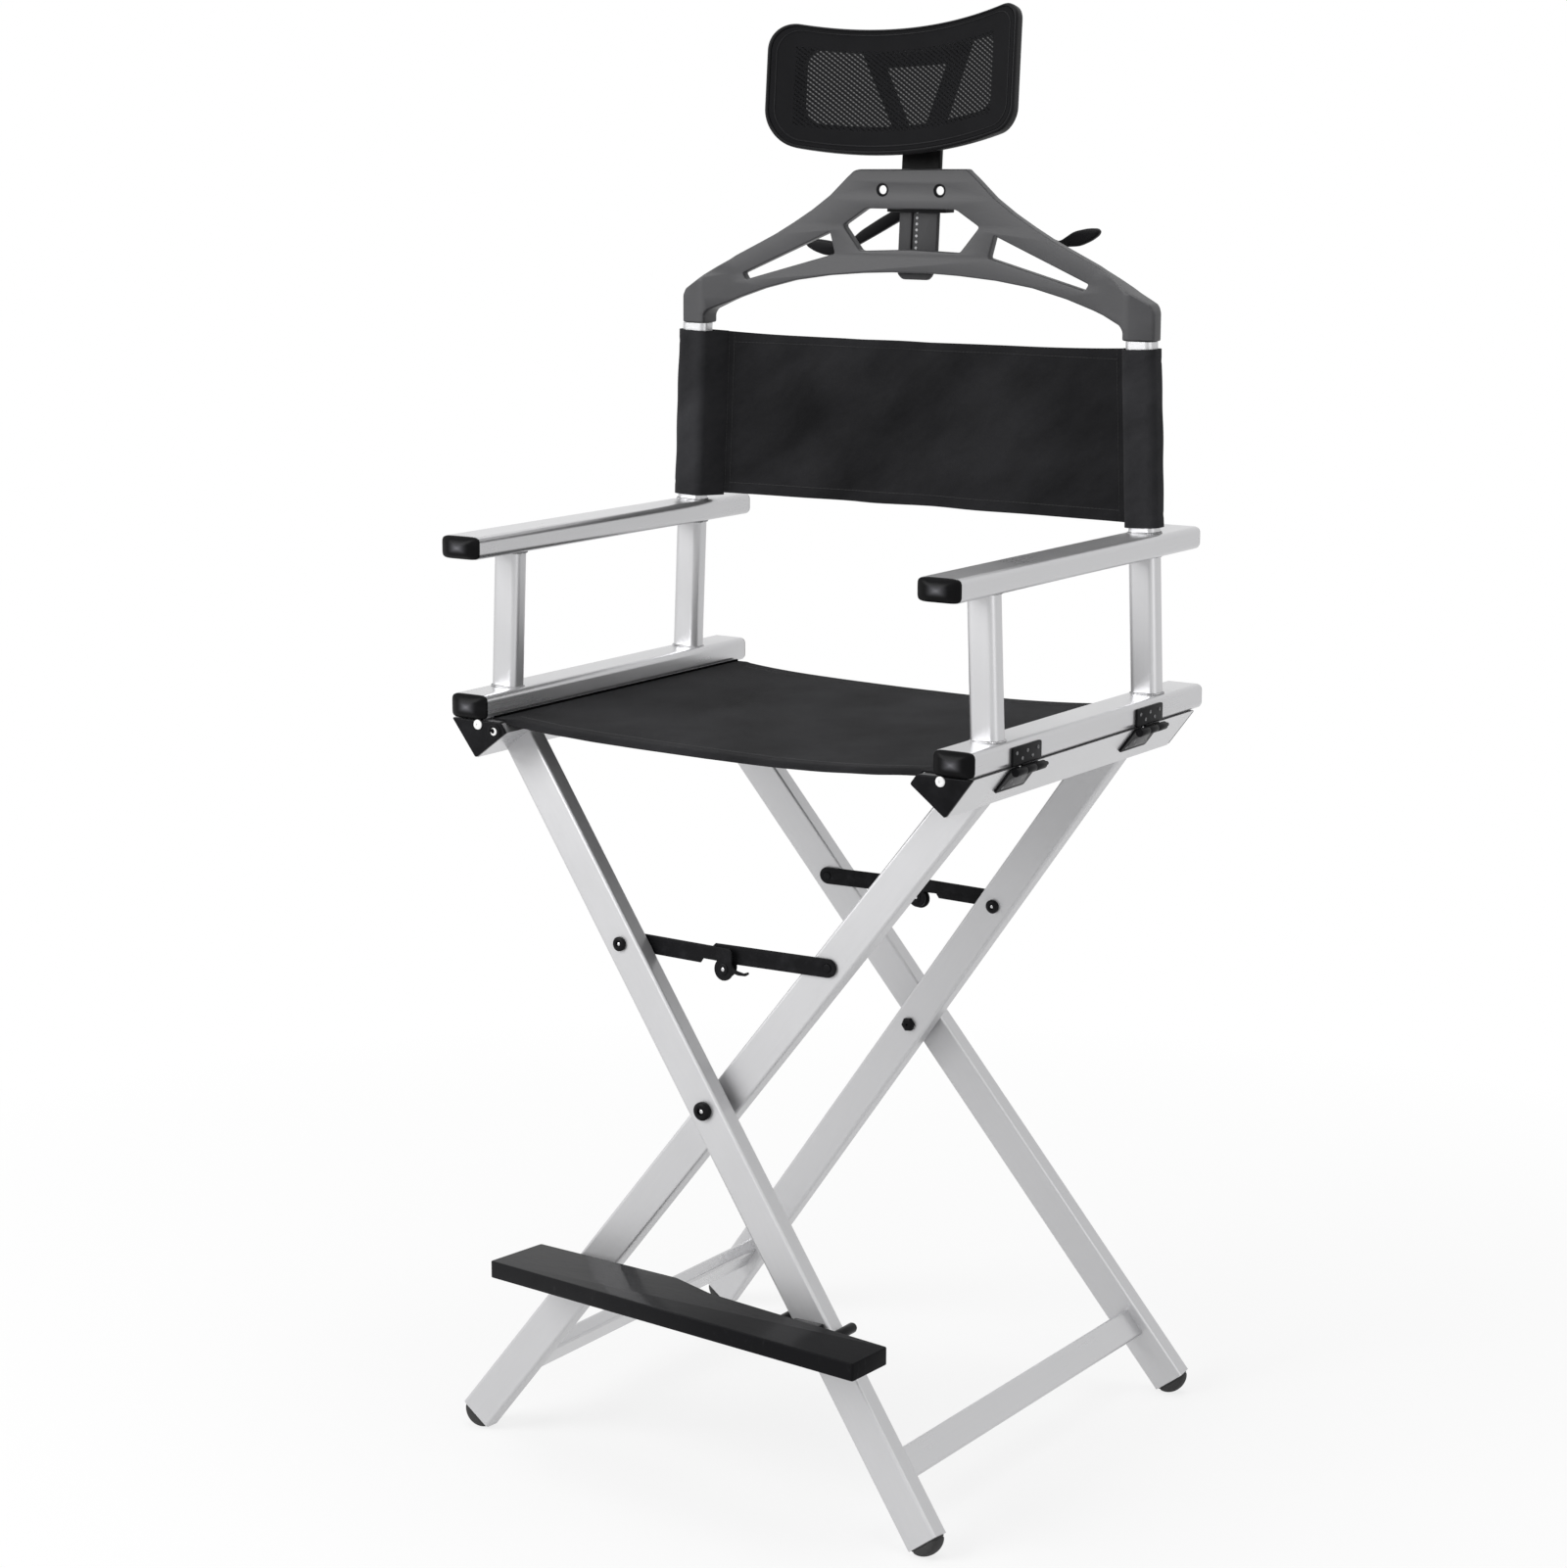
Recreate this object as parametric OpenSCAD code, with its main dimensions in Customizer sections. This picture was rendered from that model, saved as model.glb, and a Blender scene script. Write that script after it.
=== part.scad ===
// Folding make-up artist's chair with a sling seat, a footrest and a headrest on a lift-off yoke.
// +Z is up and -Y is the side the sitter faces. Frame A leans from top left to bottom right as seen
// from the front, frame B the other way, and each frame has its own mirror-image parts.

/* [Crossed frames] */
// height of the crossing pivot above the floor
pivot_z = 373.1; // [360:0.1:386]
// tilt of each frame's plane from upright
frame_tilt = 37.05; // [36.5:0.05:37.6]
// how far each leg turns away from its frame's middle line
leg_splay = 5.6; // [4.5:0.1:6.5]
// distance of frame A's legs from the middle at the pivot
spread_a = 204.1; // [202:0.1:212]
// gap between the facing leg faces of the two frames
leg_gap = 10.1; // [9.6:0.1:12]
// width of a leg tube, across the frame
leg_w = 36.6; // [34:0.1:38]
// thickness of a leg tube
leg_t = 20; // [18:0.5:20.5]
// wall of the leg tubes
leg_wall = 2; // [1.5:0.1:3]
// radius of the leg tubes' edges
leg_edge = 3; // [2.2:0.1:4]
// radius of the domed foot
foot_r = 20; // [19:0.5:24]
// height of the middle of the foot's dome above the tube's end
foot_in = 8; // [5:0.5:10]

/* [Seat rails] */
// height of the seat rails' flat top
rail_top = 724.7; // [720:0.1:726]
// distance from the pivot to the rail's underside, along the frame
rail_from = 410; // [405:1:412]
// width of the seat rail, across the frame
rail_w = 46; // [44:0.5:48]
// wall of the seat rail
rail_wall = 3; // [2:0.5:4]
// front end of the seat rail
rail_front = 216; // [210:1:218]
// rear end of the seat rail
rail_rear = 216; // [210:1:220]
// thickness of the seat rail's end caps
rail_cap = 4; // [2:0.5:6]
// radius of the rod in the seat's hem
seat_rod_r = 4; // [3:0.25:4.5]
// clearance of the rod in its channel
rod_clear = 1.2; // [0.5:0.1:1.4]

/* [Lower rails] */
// distance from the pivot to the lower rail, along the frame
low_rail_at = 379.8; // [360:0.2:390]
// height of the lower rail's section, along the frame
low_rail_h = 30; // [24:1:34]
// thickness of the lower rail
low_rail_t = 16; // [12:1:20]

/* [Arms] */
// distance of the arm's lower rail from the middle
arm_x = 271.9; // [268:0.1:273]
// width of the arm's lower rail
arm_rail_w = 42; // [40:0.5:43]
// height of the arm's lower rail
arm_rail_h = 24; // [20:0.5:26]
// gap under the arm's lower rail
arm_gap = 0.3; // [0.2:0.1:1]
// front end of the arm's lower rail
arm_rail_front = 216; // [206:1:222]
// rear end of the arm's lower rail
arm_rail_rear = 232; // [220:1:236]
// height of the armrest's middle
armrest_z = 894.3; // [880:0.1:899]
// width of the armrest
armrest_w = 44; // [40:0.5:48]
// height of the armrest
armrest_h = 22; // [18:0.5:26]
// front end of the armrest tube
armrest_front = 234; // [220:1:240]
// rear end of the armrest tube
armrest_rear = 230; // [210:1:236]
// how far the black front caps stand out
cap_out = 8; // [5:0.5:10]
// width of a post
post_w = 30; // [28:0.5:31]
// thickness of a post
post_t = 20; // [18:0.5:21]
// wall of a post
post_wall = 2.5; // [2:0.1:3]
// place of the front posts before the middle
front_post_y = 157; // [140:1:170]
// place of the back posts behind the middle
back_post_y = 155; // [154:1:157]
// lean of the posts towards the middle
arm_lean = 2.3; // [2:0.1:2.6]
// height of the back posts' top
post_top = 1089; // [1088:0.5:1090]

/* [Arm hinges] */
// radius of a hinge knuckle
knuckle_r = 4; // [3.6:0.1:4.4]
// radius of a hinge pin
hinge_pin_r = 2; // [1.5:0.1:2.4]
// thickness of a hinge leaf
leaf_t = 2.5; // [2.3:0.1:2.9]
// length of a hinge
hinge_l = 53; // [45:1:60]
// front hinge, from its front end to the middle
hinge_front_y = 152; // [146:1:158]
// rear hinge, from the middle to its front end
hinge_rear_y = 90; // [80:1:100]

/* [Stays] */
// distance from the crossing pivot to a stay's bolt, along the leg
stay_at = 181; // [178:0.5:184]
// height of a stay bar
stay_h = 18; // [16:0.5:19]
// thickness of a stay bar
stay_t = 2.5; // [2:0.1:2.8]
// drop of the stay's middle pivot under its bolts
stay_drop = 11.6; // [10:0.2:13]
// radius of the lobe at the middle pivot
stay_lobe_r = 11; // [10:0.5:12]
// radius of a stay bolt
stay_bolt_r = 4; // [3:0.25:4.5]

/* [Slings] */
// thickness of the sling cloth
cloth_t = 2.4; // [1.8:0.1:3]
// front edge of the seat
seat_front = 210; // [200:1:212]
// rear edge of the seat
seat_rear = 214; // [205:1:215]
// dip of the seat between its rails
seat_dip = 9; // [5:0.5:14]
// lower edge of the back sling
back_low = 911; // [909:0.5:914]
// upper edge of the back sling
back_high = 1081; // [1070:0.5:1084]
// place of the sleeve's seam, from the middle
seam_x = 224.5; // [223:0.5:228]
// place of the seam behind the middle
seam_y = 176; // [174:0.5:178]

/* [Yoke] */
// thickness of the yoke plate
yoke_t = 10; // [8:0.5:10.5]
// width of a yoke boss
boss_w = 31; // [30:0.5:33]
// depth of a yoke boss
boss_t = 26; // [24:0.5:28]
// turn of the yoke's outer ends to the rear
boss_turn = 7; // [3:0.5:9]
// gap between yoke and post tops
yoke_gap = 0.3; // [0.2:0.1:1]
// length of the spigot in the left post
spigot_l = 25; // [20:1:34]
// clearance of the spigot on every side
spigot_clear = 0.4; // [0.3:0.1:0.6]
// distance between the two holes in the yoke
yoke_hole_gap = 66; // [60:1:72]
// radius of the holes in the yoke
yoke_hole_r = 4.25; // [3.5:0.05:5]
// height of the holes in the yoke
yoke_hole_z = 1228; // [1226:0.5:1230]

/* [Headrest] */
// width of the stem
stem_w = 44; // [40:0.5:46]
// thickness of the stem
stem_t = 6; // [5:0.5:6.5]
// lean of the stem to the rear
stem_lean = 4; // [3.5:0.1:4.5]
// middle of the stem behind the middle, at the bracket
stem_y = 169.5; // [169:0.1:170.5]
// clearance of the stem in its bracket
stem_clear = 0.4; // [0.2:0.1:0.8]
// width of the headrest
head_w = 282; // [270:1:295]
// height of the headrest
head_h = 122; // [114:1:130]
// thickness of the headrest's frame
head_t = 14; // [12:0.5:16]
// width of the headrest frame's rim at top and bottom
head_rim = 27; // [22:0.5:32]
// width of the headrest frame's rim at its ends
head_end = 30; // [24:0.5:36]
// width of the thin lip round the mesh
head_lip = 3; // [2:0.5:5]
// thickness of the mesh
mesh_t = 2; // [1:0.1:3]
// gap between the frame and the strut plate behind it
strut_back = 20; // [12:1:22]
// bending radius of the headrest
head_bend = 500; // [450:10:600]
// height of the headrest's middle
head_z = 1332; // [1322:1:1340]
// roll of the headrest as photographed, right side up
head_roll = 3.4; // [0:0.2:4]
// rise of the headrest's ends over its middle
head_smile = 16; // [0:1:18]
// tilt of the headrest to the rear
head_tilt = 10; // [6:1:14]
// middle of the headrest behind the middle
head_y = 132; // [130:1:134]

/* [Footrest] */
// height of the footrest's top
footrest_top = 202; // [198:0.5:206]
// thickness of the footrest
footrest_t = 17; // [14:0.5:20]

/* [Look] */
metal_color = [0.74, 0.74, 0.75];
dark_color = [0.06, 0.06, 0.065];
cloth_color = [0.05, 0.05, 0.055];
moulded_color = [0.12, 0.12, 0.125];

/* [Hidden] */
$fn = 48;

// places that follow from the sizes above
spread_b = spread_a - leg_t / cos(leg_splay) - leg_gap;
rail_out = rail_w / 2 - 1.5;
rail_in = rail_w / 2 + 1.5;
leg_axis_drop = cos(frame_tilt) * cos(leg_splay);
leg_down = (pivot_z - foot_r) / leg_axis_drop + foot_in;
leg_up = rail_from / cos(leg_splay) + leg_t;
bolt_r = 4;
bolt_clear = 0.06;
bolt_head_r = 9;
bolt_head_t = 5;
// gaps from the seat's cloth down to the rails and sideways to the arm rails
seat_lift = 0.3;
seat_room = 1.4;
// gaps between a leg and its plain or lobed stay bar
plain_gap = 0.5;
lobed_gap = 1.4;
// height of the rail's flat top over its underside, measured along the frame at a distance n across
function rail_height(n) = (rail_top - pivot_z + n * sin(frame_tilt)) / cos(frame_tilt);
arm_rail_z = rail_top + arm_gap + arm_rail_h / 2;
hinge_x = arm_x + arm_rail_w / 2 + leaf_t / 2 + knuckle_r - 0.6;
hinge_z = rail_top - 3.2;
arm_outer = arm_x + arm_rail_w / 2;
rod_n = -15;
rod_up = rail_height(rod_n) - 11.5;
post_lift = post_top - arm_rail_z;
stay_x = stay_at * sin(frame_tilt);
stay_l = sqrt(stay_x * stay_x + stay_drop * stay_drop);
yoke_low = post_top + yoke_gap;
yoke_x = arm_x - post_lift * tan(arm_lean);
yoke_y = back_post_y + 2;
stem_low = 1141;
stem_high = 1284;
stem_mid = 1194;
hub_y = stem_y + (stem_high - 10 - stem_mid) * tan(stem_lean);
hub_z = stem_high - 10;
hub_r = 8;
// the stem's two guide bands under and over the yoke's holes
band_w = 68;
band_h = 10;
band_deep = 23;
band_low = yoke_hole_z - 22;
band_high = yoke_hole_z + 8;
// the hanger's bar behind the yoke
hanger_t = 8;
hanger_y = yoke_y + yoke_t / 2 + 60;
hanger_z = yoke_hole_z - 12;
hanger_roll = 3.1;
// the front legs' front faces at the footrest's underside
leg_out = (pivot_z - footrest_top + footrest_t) / leg_axis_drop * sin(leg_splay)
  + leg_t / 2 / cos(leg_splay);
face_a = -spread_a - leg_out;
face_b = -spread_b - leg_out;
// footrest corners, going round from the front left
foot_front_left = [-210, face_b - 70];
foot_front_right = [235, face_a - 84.8];
foot_rear_right = [238, face_a - 29.8];
foot_step_right = [22, face_a + 1.2];
foot_step_left = [-30, face_b - 10];
foot_rear_left = [-200, face_b - 1];
foot_end = leg_down - foot_in + sqrt(foot_r * foot_r - leg_t * leg_t / 4);
foot_reach = spread_a + foot_end * sin(leg_splay) + leg_t / 2 * cos(leg_splay);
place_y = (-foot_front_right[1] - foot_reach) / 2;

module stand() {
  translate([0, place_y, 0]) children();
}

module mirrored(flip) {
  if (flip) mirror([1, 0, 0]) children();
  else children();
}

// children stand in the frame's own plane: X across it, Z up along it, from the pivot
module tilted(flip) {
  stand() mirrored(flip) translate([0, 0, pivot_z]) rotate([0, frame_tilt, 0]) children();
}

// children stand on a leg's axis, side -1 in front and 1 behind
module on_leg(spread, side) {
  translate([0, side * spread, 0]) rotate([side * leg_splay, 0, 0]) children();
}

module round_section(w, d, r) {
  square([w - 2 * r, d], center = true);
  square([w, d - 2 * r], center = true);
  for (x = [-1, 1], y = [-1, 1])
    translate([x * (w / 2 - r), y * (d / 2 - r)]) circle(r = r);
}

module leg_shell(spread, side) {
  on_leg(spread, side) translate([0, 0, -leg_down])
    linear_extrude(height = leg_down + leg_up) round_section(leg_w, leg_t, leg_edge);
}

module cross_hole(r) {
  rotate([90, 0, 0]) cylinder(r = r, h = 600, center = true);
}

module leg(spread, side) {
  difference() {
    leg_shell(spread, side);
    on_leg(spread, side) translate([0, 0, -leg_down - 1])
      linear_extrude(height = leg_down + leg_up + 2)
        round_section(leg_w - 2 * leg_wall, leg_t - 2 * leg_wall, leg_edge - leg_wall + 0.5);
    translate([-60, -400, rail_from]) cube([120, 800, 80]);
    cross_hole(bolt_r + bolt_clear);
    on_leg(spread, side) stay_hole(side, spread);
  }
}

// hole for the stay's bolt, square to the leg's faces
module stay_hole(side, spread) {
  translate([0, 0, stay_at]) rotate([90, 0, 0])
    cylinder(r = stay_bolt_r + 0.05, h = 60, center = true);
}

module foot(spread, side) {
  on_leg(spread, side) translate([0, 0, -leg_down]) {
    intersection() {
      translate([0, 0, foot_in]) sphere(r = foot_r);
      translate([0, 0, -foot_r]) linear_extrude(height = foot_r)
        round_section(leg_w, leg_t, leg_edge);
    }
    linear_extrude(height = 12)
      round_section(leg_w - 2 * leg_wall - 0.4, leg_t - 2 * leg_wall - 0.4, leg_edge - leg_wall + 0.3);
  }
}

module feet(spread) {
  foot(spread, -1);
  foot(spread, 1);
}

module rail_outline() {
  polygon([[-rail_in, rail_from], [rail_out, rail_from],
    [rail_out, rail_height(rail_out)], [-rail_in, rail_height(-rail_in)]]);
}

module rail_section() {
  difference() {
    rail_outline();
    polygon([[-6, rail_from + rail_wall], [rail_out - rail_wall, rail_from + rail_wall],
      [rail_out - rail_wall, rail_height(rail_out - rail_wall) - 1.3 * rail_wall],
      [-6, rail_height(-6) - 1.3 * rail_wall]]);
    translate([rod_n, rod_up]) circle(r = seat_rod_r + rod_clear);
    translate([rod_n, rod_up]) rotate([0, 0, 152]) translate([0, -1.8]) square([20, 3.6]);
  }
}

// the seat rail runs along Y, and its section is drawn across and up the frame
module along_rail(from, to) {
  translate([0, to, 0]) rotate([90, 0, 0]) linear_extrude(height = to - from) children();
}

module top_rail() {
  along_rail(-rail_front, rail_rear) rail_section();
}

module rail_cap_pair() {
  along_rail(-rail_front - rail_cap, -rail_front) rail_outline();
  along_rail(rail_rear, rail_rear + rail_cap - 1) rail_outline();
  translate([-2, -rail_front - rail_cap, rail_from + 24]) rotate([90, 0, 0])
    cylinder(r = 4, h = 1.6);
}

module seat_rod() {
  translate([rod_n, rail_rear, rod_up]) rotate([90, 0, 0])
    cylinder(r = seat_rod_r, h = rail_front + rail_rear);
}

module lower_rail(spread) {
  difference() {
    translate([0, 0, -low_rail_at]) rotate([90, 0, 0])
      linear_extrude(height = 2 * spread + 60, center = true) difference() {
        round_section(low_rail_t, low_rail_h, 3);
        round_section(low_rail_t - 4, low_rail_h - 4, 1.5);
      }
    for (side = [-1, 1]) {
      leg_shell(spread, side);
      on_leg(spread, side) translate([-40, side > 0 ? 0 : -80, -leg_down - 60])
        cube([80, 80, leg_down]);
    }
  }
}

module pivot_bolt(side) {
  difference() {
    union() {
      translate([0, side * (spread_a + leg_t / 2 + bolt_head_t + 1), 0]) rotate([side * 90, 0, 0])
        cylinder(r = bolt_head_r, h = bolt_head_t + 3);
      translate([0, side * (spread_a + leg_t / 2 + 2), 0]) rotate([side * 90, 0, 0])
        cylinder(r = bolt_r, h = 2 * leg_t + leg_gap + 8);
      translate([0, side * (spread_b - leg_t / 2 - 1.2), 0]) rotate([side * 90, 0, 0])
        cylinder(r = bolt_head_r - 1.5, h = 6);
    }
    difference() {
      leg_shell(spread_a, side);
      cross_hole(bolt_r + bolt_clear);
    }
  }
}

module pivot_bolt_pair() {
  pivot_bolt(-1);
  pivot_bolt(1);
}

module pivot_spacer_pair() {
  for (side = [-1, 1]) difference() {
    translate([0, side * (spread_a - leg_t / 2 + 0.8), 0]) rotate([side * 90, 0, 0])
      cylinder(r = 7, h = leg_gap - 0.2);
    leg_shell(spread_a, side);
    cross_hole(bolt_r + bolt_clear);
  }
}

// a bolt through the leg for one stay: its head is on the face away from the stay
module stay_bolt(spread, side, outward, gap) {
  on_leg(spread, side) translate([0, outward * (leg_t / 2), stay_at]) rotate([outward * 90, 0, 0]) {
    translate([0, 0, -4]) cylinder(r = 7, h = 3.99);
    translate([0, 0, -2]) cylinder(r = stay_bolt_r, h = leg_t + 2 + stay_t + gap);
  }
}

// bar of a stay in its own plane, from the bolt at the origin towards -X
module stay_bar(lobed) {
  drop_angle = asin(stay_drop / stay_l);
  difference() {
    union() {
      circle(r = stay_h / 2);
      translate([-stay_x + (lobed ? 0 : 6), -stay_h / 2]) square([stay_x - (lobed ? 0 : 6), stay_h]);
      translate([-stay_x, -stay_drop]) circle(r = stay_lobe_r);
      if (lobed) translate([-stay_x - stay_h / 2, 0]) translate([0, -stay_h / 2]) square([stay_h / 2, stay_h]);
      if (!lobed) translate([-stay_x - 16, -stay_h / 2 + 4]) square([24, stay_h - 4]);
    }
    circle(r = stay_bolt_r + 0.08);
  }
}

// children drawn on a leg's face, with X level in the chair and Y up
module on_leg_face(spread, side, face, from) {
  on_leg(spread, side) translate([0, face * (leg_t / 2 + from), stay_at]) rotate([90, 0, 0])
    rotate([0, 0, frame_tilt]) linear_extrude(height = stay_t) children();
}

module rivet_on_face(spread, side, face, from) {
  on_leg(spread, side) translate([0, face * (leg_t / 2 + from), stay_at]) rotate([90, 0, 0])
    rotate([0, 0, frame_tilt]) translate([-stay_x, -stay_drop, 0.01])
      cylinder(r = 5.5, h = lobed_gap - 0.4);
}

// arm parts are drawn for the right side
module arm_rail_shape() {
  translate([arm_x, arm_rail_rear, arm_rail_z]) rotate([90, 0, 0])
    linear_extrude(height = arm_rail_front + arm_rail_rear) round_section(arm_rail_w, arm_rail_h, 6);
}

module arm_rail_part() {
  difference() {
    arm_rail_shape();
    translate([arm_x, arm_rail_rear + 1, arm_rail_z]) rotate([90, 0, 0])
      linear_extrude(height = arm_rail_front + arm_rail_rear + 2)
        round_section(arm_rail_w - 5, arm_rail_h - 5, 3.5);
  }
}

armrest_x = arm_x - (armrest_z - arm_rail_z) * tan(arm_lean);

module armrest_shape() {
  translate([armrest_x, armrest_rear, armrest_z]) rotate([90, 0, 0])
    linear_extrude(height = armrest_front + armrest_rear) round_section(armrest_w, armrest_h, 6);
}

// the post's axis leaves the lower rail's middle and leans towards the chair's middle
module on_post(y) {
  translate([arm_x, y, arm_rail_z]) rotate([0, -arm_lean, 0]) children();
}

module post_shape(y, top) {
  on_post(y) linear_extrude(height = top) round_section(post_w, post_t, 7);
}

module post_bore(y, top) {
  on_post(y) translate([0, 0, -1]) linear_extrude(height = top + 2)
    round_section(post_w - 2 * post_wall, post_t - 2 * post_wall, 7 - post_wall);
}

module armrest_part() {
  difference() {
    armrest_shape();
    translate([armrest_x, armrest_rear + 1, armrest_z]) rotate([90, 0, 0])
      linear_extrude(height = armrest_front + armrest_rear + 2)
        round_section(armrest_w - 5, armrest_h - 5, 3.5);
    post_shape(back_post_y, post_lift);
    // the hole in the top wall is punched a little wider than the post
    on_post(back_post_y) translate([0, 0, armrest_z + armrest_h / 2 - 3 - arm_rail_z])
      linear_extrude(height = 8) round_section(post_w + 0.8, post_t + 0.8, 7.4);
  }
}

module front_post_part() {
  difference() {
    post_shape(-front_post_y, armrest_z - arm_rail_z);
    post_bore(-front_post_y, armrest_z - arm_rail_z);
    arm_rail_shape();
    armrest_shape();
  }
}

module back_post_part() {
  difference() {
    post_shape(back_post_y, post_lift + 10);
    post_bore(back_post_y, post_lift + 10);
    arm_rail_shape();
    translate([0, back_post_y - 50, post_top]) cube([400, 100, 40]);
  }
}

module bulged_cap(x, y, z, w, h) {
  translate([x, y, z]) rotate([90, 0, 0]) {
    linear_extrude(height = cap_out * 0.55) round_section(w, h, 6);
    translate([0, 0, cap_out * 0.55]) linear_extrude(height = cap_out * 0.3)
      round_section(w - 3, h - 3, 5);
    translate([0, 0, cap_out * 0.85]) linear_extrude(height = cap_out * 0.15)
      round_section(w - 8, h - 8, 4);
  }
}

module plug(x, y, z, w, h) {
  translate([x, y + 2, z]) rotate([90, 0, 0]) linear_extrude(height = 2)
    round_section(w - 1, h - 1, 5.5);
}

module arm_cap_group() {
  bulged_cap(arm_x, -arm_rail_front, arm_rail_z, arm_rail_w, arm_rail_h);
  bulged_cap(armrest_x, -armrest_front, armrest_z, armrest_w, armrest_h);
  plug(arm_x, arm_rail_rear, arm_rail_z, arm_rail_w, arm_rail_h);
  plug(armrest_x, armrest_rear, armrest_z, armrest_w, armrest_h);
}

module knuckle(y, from, to, bore) {
  translate([hinge_x, y + to, hinge_z]) rotate([90, 0, 0]) difference() {
    cylinder(r = knuckle_r, h = to - from);
    translate([0, 0, -1]) cylinder(r = bore, h = to - from + 2);
  }
}

knuckle_third = hinge_l / 3;

module arm_hinge_leaf(y) {
  difference() {
    union() {
      translate([arm_outer, y, hinge_z + 0.5]) cube([leaf_t, hinge_l, 22]);
      knuckle(y, knuckle_third + 0.3, 2 * knuckle_third - 0.3, hinge_pin_r + 0.05);
    }
    for (from = [-1, 2 * knuckle_third - 0.3])
      translate([arm_outer - 1, y + from, hinge_z - 6]) cube([12, knuckle_third + 1.3, 12.5]);
    translate([hinge_x, y + hinge_l + 1, hinge_z]) rotate([90, 0, 0])
      cylinder(r = hinge_pin_r + 0.05, h = hinge_l + 2);
  }
}

module rail_hinge_leaf(y) {
  difference() {
    union() {
      translate([0, 0, pivot_z]) rotate([0, frame_tilt, 0])
        translate([rail_out, y, rail_height(rail_out) - 29]) cube([leaf_t, hinge_l, 28.5]);
      knuckle(y, 0, knuckle_third, hinge_pin_r + 0.05);
      knuckle(y, 2 * knuckle_third, hinge_l, hinge_pin_r + 0.05);
    }
    translate([hinge_x - 8, y + knuckle_third, hinge_z - 5.5]) cube([16, knuckle_third, 14]);
    translate([hinge_x, y + hinge_l + 1, hinge_z]) rotate([90, 0, 0])
      cylinder(r = hinge_pin_r + 0.05, h = hinge_l + 2);
  }
}

module hinge_pin(y) {
  translate([hinge_x, y + hinge_l + 7, hinge_z]) rotate([90, 0, 0])
    cylinder(r = hinge_pin_r, h = hinge_l + 7);
}

// the seat's cloth lies over the rails' flat tops as far as the arm rails, and dips between them
module seat_part() {
  corner_n = -rail_in;
  half = corner_n * cos(frame_tilt) + rail_height(corner_n) * sin(frame_tilt);
  edge = arm_x - arm_rail_w / 2 - seat_room;
  level = rail_top + seat_lift;
  dip = [for (i = [-8:8]) [half * i / 8, level - seat_dip * (1 - pow(abs(i / 8), 2.6))]];
  stand() translate([0, seat_rear, 0]) rotate([90, 0, 0])
    linear_extrude(height = seat_front + seat_rear)
      polygon(concat([[-edge, level]], dip, [[edge, level], [edge, level + cloth_t]],
        [for (i = [16:-1:0]) dip[i] + [0, cloth_t]], [[-edge, level + cloth_t]]));
}

module sleeve_part() {
  low = back_low - arm_rail_z;
  high = back_high - arm_rail_z;
  lean_in = (back_low + back_high) / 2 - arm_rail_z;
  seam_at = seam_x - arm_x + lean_in * tan(arm_lean);
  on_post(back_post_y) translate([0, 0, low]) linear_extrude(height = high - low) difference() {
    hull() {
      round_section(post_w + 7, post_t + 7, 9);
      translate([seam_at, seam_y - back_post_y]) circle(r = 2.5, $fn = 16);
    }
    round_section(post_w + 0.8, post_t + 0.8, 7.4);
  }
}

module back_part() {
  edge = seam_x + 4;
  mid = (back_low + back_high) / 2;
  low = back_low + 2;
  high = back_high - 6;
  stand() intersection() {
    translate([0, 0, low]) linear_extrude(height = high - low)
      polygon([for (i = [0:12]) [edge * (i / 6 - 1), seam_y + 5 * (1 - pow(i / 6 - 1, 2))],
        for (i = [12:-1:0]) [edge * (i / 6 - 1), seam_y + cloth_t + 5 * (1 - pow(i / 6 - 1, 2))]]);
    translate([0, seam_y + 40, 0]) rotate([90, 0, 0]) linear_extrude(height = 80)
      polygon([for (k = [[-1, low], [1, low], [1, high], [-1, high]])
        [k[0] * (seam_x - 3.4 - (k[1] - mid) * tan(arm_lean)), k[1]]]);
  }
}

// outline of one half of the yoke, seen from the front, heights measured from its lower face
module yoke_half() {
  polygon([[-1, 158], [61, 158.5], [67, 157], [75, 150.5], [95, 132.5], [116, 118], [138, 105],
    [160, 93], [180, 83.5], [209, 70], [230, 58], [250, 45.5], [yoke_x + 10, 33],
    [yoke_x + boss_w / 2, 23], [yoke_x + boss_w / 2, 0], [yoke_x - boss_w / 2, 0],
    [yoke_x - boss_w / 2, 9], [yoke_x - boss_w / 2 - 4, 14],
    [206, 27], [176, 37], [138, 46.5], [97, 52.5], [55, 56], [22, 57.5], [-1, 57.5]]);
}

// the yoke seen from above: a plate that thickens into a boss at each end
module yoke_plan() {
  front = back_post_y - boss_t / 2;
  rear = back_post_y + boss_t / 2;
  inner = yoke_x - boss_w / 2;
  outer = yoke_x + boss_w / 2;
  translate([0, yoke_y]) square([2 * inner - 48, yoke_t], center = true);
  for (side = [0, 1]) mirror([side, 0])
    polygon([[inner - 26, yoke_y - yoke_t / 2], [inner, front], [outer - boss_w + 8, front],
      [outer - 2, front + boss_turn - 1], [outer, front + boss_turn + 1], [outer, rear - 3],
      [outer - 3, rear], [inner, rear], [inner - 26, yoke_y + yoke_t / 2]]);
}

module yoke_windows() {
  polygon([[-53, 119], [53, 119], [75, 103], [59, 76], [-59, 76], [-75, 103]]);
  for (flip = [0, 1]) mirror([flip, 0])
    polygon([[98, 95], [92, 74], [196, 46], [200, 52]]);
}

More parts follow.
